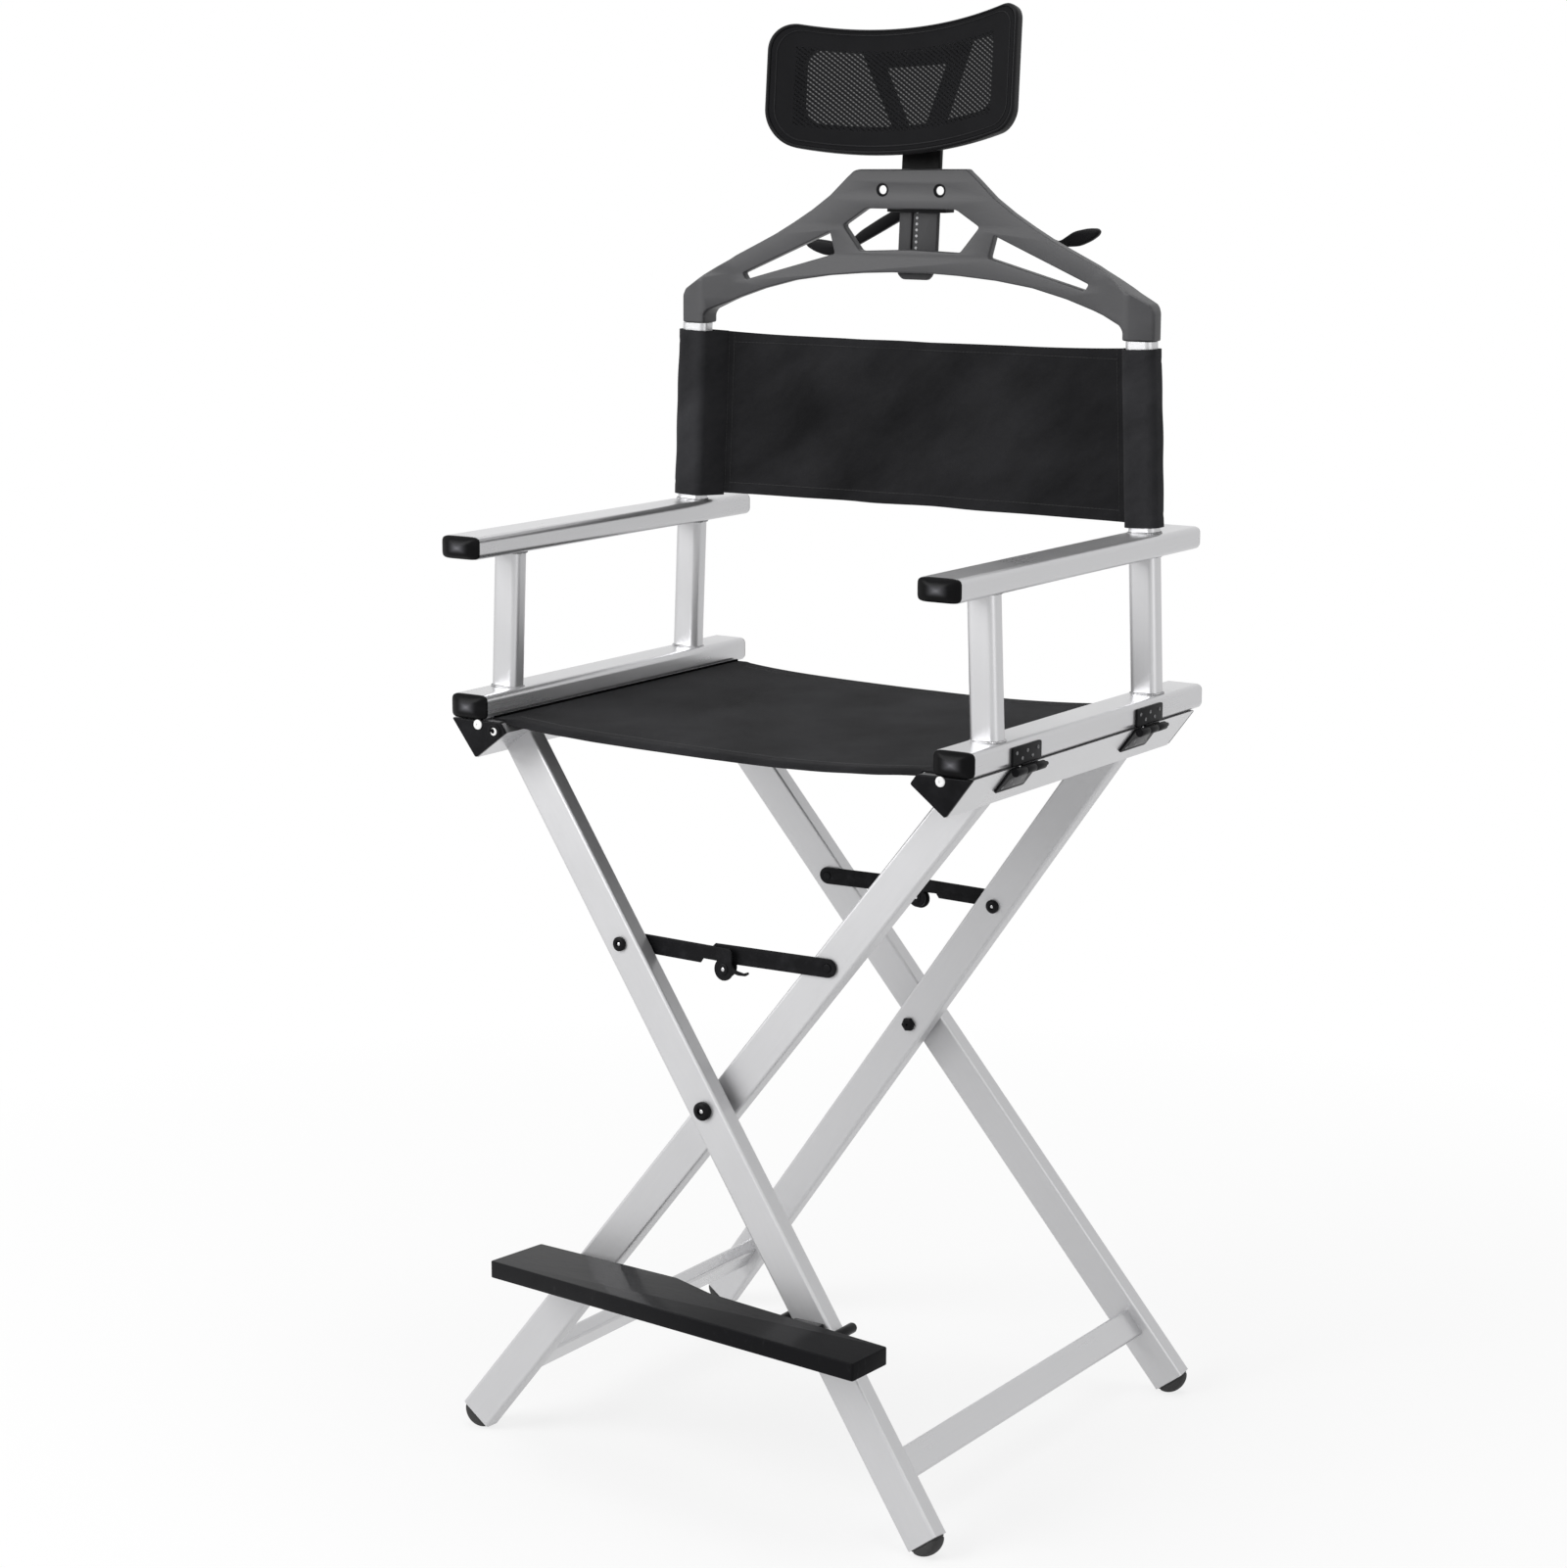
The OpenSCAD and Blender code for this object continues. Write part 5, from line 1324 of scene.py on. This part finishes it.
class CHAIR_OT_yoke(ChairOperator, bpy.types.Operator):
    """Moulded plate with windows that plugs onto the back posts"""
    bl_idname = "chair.yoke"
    bl_label = "Yoke"

    def make(self, sizes):
        inner, outer = YOKE_X - BOSS_W / 2, YOKE_X + BOSS_W / 2
        right = [(61, 158.5), (67, 157), (75, 150.5), (95, 132.5), (116, 118), (138, 105), (160, 93),
                 (180, 83.5), (209, 70), (230, 58), (250, 45.5), (YOKE_X + 11, 35), (outer, 27), (outer, 0),
                 (inner, 0), (inner, 9), (inner - 4, 14), (206, 27), (176, 37), (138, 46.5), (97, 52.5),
                 (55, 56), (22, 57.5)]
        # the shoulder beside the holes stands a little higher on the right
        outline = [(64, 160)] + right[1:] + [(-x, z) for x, z in reversed(right)]
        window = eased([(-52, 120), (51, 120.5), (78, 104), (56, 78.5), (0, 80.5), (-59, 78), (-79, 103)], 3)
        sliver = eased([(95, 96), (89, 74.5), (196, 46), (200, 52)], 2)
        holes = [window, sliver, [(-x, z) for x, z in reversed(sliver)]] + [
            circle(side * HOLE_X, HOLE_Z - YOKE_LOW, HOLE_R) for side in (-1, 1)]
        plate = slab("yoke_plate", [eased(outline, 2.0, 2)] + holes, YOKE_T, 1.7, 4)
        wider = 5.2
        for corner in plate.data.vertices:
            for side in (-1, 1):
                x, z = corner.co.x / MM - side * HOLE_X, corner.co.y / MM - (HOLE_Z - YOKE_LOW)
                far = math.hypot(x, z)
                if far < HOLE_R + 2.2 and corner.co.z < 0:
                    # the holes widen to the rear
                    corner.co.x += x / far * wider * MM
                    corner.co.y += z / far * wider * MM
        # the plate thickens into a boss at each end, whose front turns back at its outer edge
        face, rear = BACK_POST - BOSS_T / 2, BACK_POST + BOSS_T / 2
        fronts = [(inner - 26, YOKE_Y - YOKE_T / 2), (inner, face), (inner + 8, face),
                  (outer - 2, face + BOSS_TURN - 1), (outer, face + BOSS_TURN + 1)]
        backs = [(inner - 26, YOKE_Y + YOKE_T / 2), (inner, rear), (outer - 3, rear), (outer, rear - 3)]
        folds = [x for x, y in fronts[:-1]] + [outer - 3]
        crease(plate, folds + [-x for x in folds])
        for corner in plate.data.vertices:
            x, z, d = corner.co.x / MM, corner.co.y / MM, corner.co.z / MM
            share = 0.5 + d / YOKE_T
            y = between(abs(x), backs) * (1 - share) + between(abs(x), fronts) * share
            corner.co = Vector((x, y, YOKE_LOW + z)) * MM
        settle(mend(plate), stand())
        spigot = slab("yoke_spigot", [rounded(POST_W - 5.8, POST_T - 5.8, 4.1)], 28, 0.8, 2)
        settle(spigot, stand() @ hand(True) @ at(ARM_X, BACK_POST, ARM_Z) @ turn("Y", -ARM_LEAN)
               @ at(0, 0, POST_TOP - ARM_Z - 25 + 14))
        done(one("yoke_moulding", [plate, spigot]), "yoke", "moulded_nylon", ["yoke"])

        # the rim's section: distance from the hole's middle, and depth behind the yoke's face
        section = [(7.0, 0.6), (6.8, -0.3), (6.1, -0.45), (HOLE_R + 0.5, 0.4), (HOLE_R + 0.45, 2.0)]
        reach, sunk = [[(i, pair[k]) for i, pair in enumerate(section)] for k in (0, 1)]

        def rim(u, v):
            i, a = v * (len(section) - 1), -2 * math.pi * u
            return between(i, reach) * math.cos(a), between(i, sunk), between(i, reach) * math.sin(a)
        pattern = surface("hole_rim", 36, 8, rim)
        rims = spread(pattern, [stand() @ at(side * HOLE_X, YOKE_Y - YOKE_T / 2, HOLE_Z)
                                for side in (-1, 1)])
        discard(pattern)
        done(one("yoke_hole_rims", rims), "yoke", "grained_plastic")


class CHAIR_OT_stem(ChairOperator, bpy.types.Operator):
    """Ratchet stem of the headrest and the two bands that guide it"""
    bl_idname = "chair.stem"
    bl_label = "Stem and guide"

    def make(self, sizes):
        base = stand() @ at(0, STEM_Y, STEM_MID) @ turn("X", -STEM_LEAN)
        low, high = STEM_LOW - STEM_MID, STEM_HIGH - STEM_MID
        w = STEM_W / 2
        notch = HUB_Z - HUB_R - 1 - STEM_MID
        side = [(w, 22.5), (w - 6, 24.5), (w - 6, 40), (w, 42), (w, high), (12, high), (12, notch)]
        tab = [(-w, low + 4), (-w + 6, low - 1.5), (w - 9, low - 1.5), (w - 4, low + 4), (w - 4, low + 12),
               (w, low + 16)]
        outline = tab + side + [(-x, z) for x, z in reversed(side)]
        channel = eased([(-7.6, low + 16), (-4.8, low + 16), (-4.8, low + 78), (-7.6, low + 78)], 1.3)
        strap = slab("stem_strap", [eased(outline, 3, 3), channel], STEM_T, 1.0, 3)
        settle(strap, base @ turn("X", 90))
        floor = settle(block("channel_floor", (3.4, 2.4, 63.5), (-6.2, 0.6, low + 47), 0.2, 1), base)
        tooth = block("tooth", (14, 2.0, 4), (0, STEM_T / 2 + 0.5, low + 20), 0.6, 2)
        teeth = spread(tooth, [base @ at(0, 0, 8 * i) for i in range(6)])
        done(one("headrest_stem", [strap, floor] + teeth), "stem", "stem_nylon", ["stem"])
        mark = bolt("mark", 1.45, 0.4, 0, 12)
        marks = spread(mark, [base @ at(-1.2, -STEM_T / 2 + 0.02, low + 18 + 5.9 * i) @ turn("X", 90)
                              for i in range(11)])
        done(one("stem_click_marks", marks), "stem", "pale_marks")
        discard(tooth, mark)

        rear = YOKE_Y + YOKE_T / 2
        parts = []
        for z in BAND_LOWS:
            mid = z + BAND_H / 2
            y = STEM_Y + 1 + (mid - STEM_MID) * tand(STEM_LEAN) - rear
            slot = [(x, y + d) for x, d in rounded(STEM_W + 1.8, STEM_T + 3.7, 1.6, 3)]
            half, cut = BAND_W / 2, 5
            shape = [(-half, 0), (half, 0), (half, BAND_DEEP - cut), (half - cut, BAND_DEEP),
                     (-half + cut, BAND_DEEP), (-half, BAND_DEEP - cut)]
            band = slab("guide_band", [eased(shape, 2.0, 3), slot], BAND_H, 0.9, 3)
            settle(band, at(0, rear, mid))
            parts.append(band)
        reach = HANGER_Y - rear - BAND_DEEP + 1
        arm = block("guide_arm", (18, reach, BAND_H + 2),
                    (0, rear + BAND_DEEP - 1 + reach / 2, BAND_LOWS[0] + (BAND_H + 2) / 2), 2.0)
        parts.append(arm)
        for part in parts:
            settle(part, stand())
        done(one("stem_guide", parts), "yoke", "dark_nylon", ["stem_bracket"])


class CHAIR_OT_hanger(ChairOperator, bpy.types.Operator):
    """Bar with drooping, upturned ends behind the yoke"""
    bl_idname = "chair.hanger"
    bl_label = "Hanger"

    def make(self, sizes):
        # the right arm, out along its lower edge and back along the upper one; the left arm mirrors it
        right = [(20, -6), (51, -15), (84, -30), (116, -44), (130, -50), (148, -50), (162, -45), (170, -40),
                 (172, -36), (169, -33), (159, -32.5), (143, -35), (127, -39), (118, -36), (104, -26),
                 (80, -14), (51, -1), (26, 4)]
        left = [(-x, z) for x, z in reversed(right)]
        # the upper edge of the right arm lies lower, so that the yoke's right hole is clear
        lowered = {(127, -39): -44, (118, -36): -43, (104, -26): -34, (80, -14): -20}
        outline = [(x, lowered.get((x, z), z)) for x, z in right] + left
        bar = slab("hanger_bar", [eased(outline, 5, 4)], HANGER_T, 2.6, 5)
        rib = slab("hanger_rib", [eased([(-14, -7), (14, -7), (14, 3), (-14, 3)], 3)], HANGER_T + 3, 1.6, 3)
        place = stand() @ at(0, HANGER_Y + HANGER_T / 2, HANGER_Z) @ turn("X", 90) @ turn("Z", HANGER_ROLL)
        parts = [settle(part, place) for part in (bar, rib)]
        done(one("hanger_bar", parts), "yoke", "dark_nylon", ["hanger"])


def head_lift(x):
    """How much the headrest's smile lifts it at x."""
    return HEAD_SMILE * ((2 * x / HEAD_W) ** 2 - 0.56)


def head_point(x, z, d):
    """A point of the bent headrest: across, up, and d behind its middle surface."""
    return x, -HEAD_BEND + math.sqrt((HEAD_BEND + d) ** 2 - x * x), z


def head_base():
    """The headrest's place on the chair, tilted and rolled."""
    return stand() @ at(0, HEAD_Y, HEAD_Z) @ turn("X", -HEAD_TILT) @ turn("Y", -HEAD_ROLL)


def head_edge(u, inset):
    """Walks round the headrest's outline as u goes from 0 to 1. An inset of RIM_LOW is the
    window's outline, and less lies between the two."""
    share = inset / RIM_LOW
    right, left = HEAD_W / 2 - RIM_RIGHT * share, HEAD_W / 2 - RIM_LEFT * share
    top, low = HEAD_H / 2 - RIM_TOP * share, HEAD_H / 2 - inset
    r = {side: CORNERS[side] + (WINDOW_CORNERS[side] - CORNERS[side]) * share for side in (-1, 1)}
    runs = []
    for side, start in ((1, 270), (1, 0), (-1, 90), (-1, 180)):
        level = start in (0, 180)
        straight = HEAD_W - CORNERS[-1] - CORNERS[1] if level else HEAD_H - 2 * CORNERS[side]
        runs += [(CORNERS[side] * math.pi / 2, side, start), (straight, side, None)]
    distance = (u % 1.0) * sum(run[0] for run in runs)
    for index, (length, side, start) in enumerate(runs):
        if distance <= length or index == 7:
            t = min(1.0, distance / length)
            break
        distance -= length
    edge = right if side > 0 else left
    if start is None:
        x, z = ((right, -(low - r[1]) + (low + top - 2 * r[1]) * t),
                (right - r[1] - (right + left - r[1] - r[-1]) * t, top),
                (-left, top - r[-1] - (low + top - 2 * r[-1]) * t),
                (-left + r[-1] + (right + left - r[1] - r[-1]) * t, -low))[index // 2]
    else:
        a = math.radians(start + 90 * t)
        up = top if start in (0, 90) else -low
        x = side * (edge - r[side]) + r[side] * math.cos(a)
        z = up - math.copysign(r[side], up) + r[side] * math.sin(a)
    return x, z + head_lift(x)


class CHAIR_OT_headrest(ChairOperator, bpy.types.Operator):
    """Moulded headrest frame, the mesh over its front, and the strut plate behind"""
    bl_idname = "chair.headrest"
    bl_label = "Headrest"

    def make(self, sizes):
        t, lip = HEAD_T / 2, HEAD_LIP
        # the rim cut through: in from the outline, and behind the middle surface
        section = [(0, 0), (0, -t + 2), (0.5, -t + 0.7), (1.5, -t), (lip - 0.8, -t), (lip - 0.2, -t + 0.5),
                   (lip, -t + MESH_T), (12, -t + MESH_T), (RIM_LOW - 1, -t + MESH_T),
                   (RIM_LOW, -t + MESH_T + 1), (RIM_LOW, t - 2), (RIM_LOW - 0.7, t - 0.6), (RIM_LOW - 2, t),
                   (16, t), (5, t), (1.4, t - 0.5), (0.3, t - 2)]

        def ring(u, v):
            i = v * len(section)
            k, share = int(i) % len(section), i - int(i)
            (a, b), (c, d) = section[k], section[(k + 1) % len(section)]
            x, z = head_edge(u, a + (c - a) * share)
            return head_point(x, z, b + (d - b) * share)
        rim = surface("headrest_rim", 260, len(section) * 2, ring)
        settle(rim, head_base())
        done(rim, "headrest", "dark_nylon", ["headrest_frame"], 50)

        def panel(u, v):
            """Rows of cloth from the headrest's middle line out to the lip."""
            edge_x, edge_z = head_edge(u, lip + 0.3)
            mid_x = max(-75.0, min(75.0, edge_x))
            mid_z = head_lift(mid_x)
            k = 1 - (1 - v) ** 1.5
            x, z = mid_x + (edge_x - mid_x) * k, mid_z + (edge_z - mid_z) * k
            kx = x / (HEAD_W / 2 - RIM_RIGHT)
            kz = (z - head_lift(x)) / (HEAD_H / 2 - RIM_LOW)
            press = 1.3 * max(0.0, 1 - kx * kx) * max(0.0, 1 - kz * kz)
            return head_point(x, z, -t + 1.2 + press)
        cloth = surface("headrest_cloth", 260, 40, panel)
        for loop in cloth.data.loops:
            spot = cloth.data.vertices[loop.vertex_index].co
            cloth.data.uv_layers.active.data[loop.index].uv = (spot.x, spot.z)
        thicken(cloth, 0.0008)
        settle(cloth, head_base())
        done(cloth, "headrest", "headrest_mesh", ["headrest_mesh"])

        def piping(u, v):
            x, z = head_edge(u, 7.5)
            a = 2 * math.pi * v
            nx, nz = head_edge(u, 6.5)
            away = Vector((nx - x, nz - z)).normalized()
            return head_point(x + away.x * math.cos(a), z + away.y * math.cos(a), -t + 1.1 - math.sin(a))
        bead = surface("headrest_piping", 260, 8, piping)
        settle(bead, head_base())
        done(bead, "headrest", "dark_nylon", (), 80)
        flat_w, flat_h = HEAD_W - 2 * lip - 1.5, HEAD_H - 2 * lip - 1
        # what the four round corners take off the rectangle
        corners_off = 0.86 * (CORNERS[-1] ** 2 + CORNERS[1] ** 2) / 2
        (flat_w * flat_h - corners_off) * MM * MM

        plate_at, foot_at = t + STRUT_BACK, t + 0.1
        top, low = HEAD_H / 2 - 14, -HEAD_H / 2 + 7
        shape = [(-18, low), (28, low), (33, low + 8), (66, top), (-66, top), (-20, low + 8)]
        hole = [(-5, low + 15), (13, low + 15), (35, 22), (-35, 22)]
        plate = slab("strut_plate", [eased(shape, 4), eased(hole, 3)], 5, 1.2, 3)
        crease(plate, [12 * i for i in range(-5, 6)])
        for corner in plate.data.vertices:
            corner.co = Vector(head_point(corner.co.x / MM, corner.co.y / MM,
                                          plate_at + 2.5 - corner.co.z / MM)) * MM
        settle(mend(plate), head_base())
        parts = [plate]
        for x, z, w, h in ((-50, top - 6, 18, 12), (50, top - 6, 18, 12), (0, low + 4.5, 52, 9)):
            start, stop = head_point(abs(x), 0, foot_at)[1] + 0.4, head_point(abs(x), 0, plate_at + 1)[1]
            foot = block("strut_foot", (w, stop - start, h), (x, (start + stop) / 2, z), 1.2)
            parts.append(settle(foot, head_base()))
        barrel = settle(rod("barrel", HUB_R, 22, 0.8), stand() @ at(-11, HUB_Y, HUB_Z) @ turn("Y", 90))
        plate_y = HEAD_Y + (plate_at + 2) * cosd(HEAD_TILT) - (HEAD_Z - HUB_Z) * sind(HEAD_TILT)
        neck = block("neck", (22, HUB_Y - plate_y - 1, 12), (0, (HUB_Y - 1 + plate_y) / 2, HUB_Z), 1.4)
        parts += [barrel, settle(neck, stand())]
        done(one("headrest_struts", parts), "headrest", "dark_nylon", ["headrest_hub"])


class CHAIR_OT_footrest(ChairOperator, bpy.types.Operator):
    """Glossy black board before the legs, with its pegs"""
    bl_idname = "chair.footrest"
    bl_label = "Footrest"
    PEG_R, PEG_ROUND = 5, 2.4

    def make(self, sizes):
        board = slab("footrest_slab", [eased(FOOTREST, 2.5, 3)], FOOTREST_T, 1.0, 3)
        settle(board, stand() @ at(0, 0, FOOTREST_TOP - FOOTREST_T / 2))
        done(board, "footrest", "footrest_gloss", ["footrest_board"])
        # where the leg crosses the board's height, and half its level width
        leg_at = (PIVOT_Z - FOOTREST_TOP + FOOTREST_T / 2) * tand(TILT)
        half = LEG_W / 2 / cosd(TILT)
        z = FOOTREST_TOP - FOOTREST_T / 2 - 2
        parts = []
        for x, rear in ((leg_at + half + 11, FACE_A + 22), (leg_at - half - 9, FACE_A + 21)):
            peg = rod("peg", self.PEG_R, rear - FACE_A + 33, self.PEG_ROUND)
            parts.append(settle(peg, at(x, rear, z) @ turn("X", 90)))
        tongue = block("tongue", (32, 24.2, FOOTREST_T - 5),
                       (leg_at, FACE_A - 12.8, FOOTREST_TOP - FOOTREST_T + 1 + (FOOTREST_T - 5) / 2), 1.5)
        parts.append(tongue)
        for part in parts:
            settle(part, stand())
        done(one("footrest_hooks", parts), "footrest", "grained_plastic", ["footrest_pegs"])


class CHAIR_OT_stage(ChairOperator, bpy.types.Operator):
    """Pale floor, white surroundings, soft lamps and the camera"""
    bl_idname = "chair.stage"
    bl_label = "Studio"
    LENS, SENSOR = 79.22, 36.0
    CAMERA, YAW, PITCH, ROLL = (1.7833, -2.7848, 1.3093), 33.06, -11.12, 0.12

    def make(self, sizes):
        scene = bpy.context.scene
        studio = scene.chair_studio
        clear()
        bpy.ops.mesh.primitive_circle_add(vertices=96, radius=9, fill_type="NGON")
        floor = bpy.context.view_layer.objects.active
        floor.name = "floor"
        look = Finish("floor_pale", (0.86, 0.86, 0.86, 1), 0.7, gloss=0.1)
        tree = look.tree
        here = look.place()
        across, deep, _ = look.parts(here)
        far = ((across * across + deep * deep) ** 0.5).ramp(0.5, 1.6)
        rays = look.node("ShaderNodeLightPath", out=0)
        glossy = look.node("ShaderNodeLightPath", out=3)
        glow = tree.nodes.new("ShaderNodeEmission")
        glow.inputs["Color"].default_value = (1, 1, 1, 1)
        mixed = tree.nodes.new("ShaderNodeMixShader")
        amount = (rays + glossy).smaller(1.0) * (0.8 + far * 0.2)
        tree.links.new(amount.socket, mixed.inputs[0])
        tree.links.new(look.shader.outputs[0], mixed.inputs[1])
        tree.links.new(glow.outputs[0], mixed.inputs[2])
        tree.links.new(mixed.outputs[0], tree.nodes["Material Output"].inputs["Surface"])
        floor.data.materials.append(look.material)

        world = bpy.data.worlds.new("studio")
        world.use_nodes = True
        tree = world.node_tree
        # cameras, mirrors and glass see pure white, and the chair is lit by less
        rays = tree.nodes.new("ShaderNodeLightPath")
        seen = rays.outputs["Is Camera Ray"]
        for kind in ("Is Glossy Ray", "Is Transmission Ray"):
            larger = tree.nodes.new("ShaderNodeMath")
            larger.operation = "MAXIMUM"
            tree.links.new(seen, larger.inputs[0])
            tree.links.new(rays.outputs[kind], larger.inputs[1])
            seen = larger.outputs[0]
        level = tree.nodes.new("ShaderNodeMapRange")
        level.inputs["To Min"].default_value = studio.room
        level.inputs["To Max"].default_value = 1.0
        tree.links.new(seen, level.inputs["Value"])
        back = tree.nodes["Background"]
        back.inputs["Color"].default_value = (1, 1, 1, 1)
        tree.links.new(level.outputs[0], back.inputs["Strength"])
        scene.world = world

        for name, power, size, place, aim in (
                ("key", studio.key, 2.0, (-1.7, -2.6, 2.3), (0, 0, 0.75)),
                ("fill", studio.fill, 2.0, (3.0, -1.2, 1.4), (0, 0, 0.7)),
                ("top", studio.top, 2.4, (0.2, 0.3, 3.4), (0, 0, 0.7))):
            lamp = bpy.data.lights.new(name, "AREA")
            lamp.energy, lamp.size = power, size
            obj = bpy.data.objects.new(name, lamp)
            scene.collection.objects.link(obj)
            obj.location = place
            obj.rotation_euler = (Vector(aim) - Vector(place)).to_track_quat("-Z", "Y").to_euler()

        lens = bpy.data.cameras.new("camera")
        lens.lens, lens.sensor_width, lens.sensor_fit = self.LENS, self.SENSOR, "HORIZONTAL"
        lens.clip_start, lens.clip_end = 0.05, 60
        camera = bpy.data.objects.new("camera", lens)
        scene.collection.objects.link(camera)
        camera.matrix_world = (Matrix.Translation(self.CAMERA) @ turn("Z", self.YAW)
                               @ turn("X", 90 + self.PITCH) @ turn("Z", self.ROLL))
        scene.camera = camera
        scene.view_settings.view_transform = "Standard"


PIECES = (CHAIR_OT_tubes, CHAIR_OT_feet, CHAIR_OT_fasteners, CHAIR_OT_stays, CHAIR_OT_hinges,
          CHAIR_OT_rail_caps, CHAIR_OT_arm_caps, CHAIR_OT_welds, CHAIR_OT_seat, CHAIR_OT_back,
          CHAIR_OT_yoke, CHAIR_OT_stem, CHAIR_OT_hanger, CHAIR_OT_headrest, CHAIR_OT_footrest,
          CHAIR_OT_stage)


class CHAIR_PT_panel(bpy.types.Panel):
    """Lists the chair's pieces and their settings"""
    bl_idname = "CHAIR_PT_panel"
    bl_label = "Make-up chair"
    bl_space_type = "VIEW_3D"
    bl_region_type = "UI"
    bl_category = "Chair"

    def draw(self, context):
        for title, group in (("Sizes", context.scene.chair_sizes), ("Colours", context.scene.chair_colours),
                             ("Studio", context.scene.chair_studio)):
            box = self.layout.box()
            box.label(text=title)
            for name in group.__annotations__:
                box.prop(group, name)
        for piece in PIECES:
            self.layout.operator(piece.bl_idname)


CLASSES = (ChairSizes, ChairColours, ChairStudio) + PIECES + (CHAIR_PT_panel,)


def register():
    for cls in CLASSES:
        bpy.utils.register_class(cls)
    bpy.types.Scene.chair_sizes = bpy.props.PointerProperty(type=ChairSizes)
    bpy.types.Scene.chair_colours = bpy.props.PointerProperty(type=ChairColours)
    bpy.types.Scene.chair_studio = bpy.props.PointerProperty(type=ChairStudio)


def unregister():
    del bpy.types.Scene.chair_studio
    del bpy.types.Scene.chair_colours
    del bpy.types.Scene.chair_sizes
    for cls in reversed(CLASSES):
        bpy.utils.unregister_class(cls)


def main():
    register()
    for piece in PIECES:
        getattr(bpy.ops.chair, piece.bl_idname.split(".")[1])()


if __name__ == "__main__":
    main()
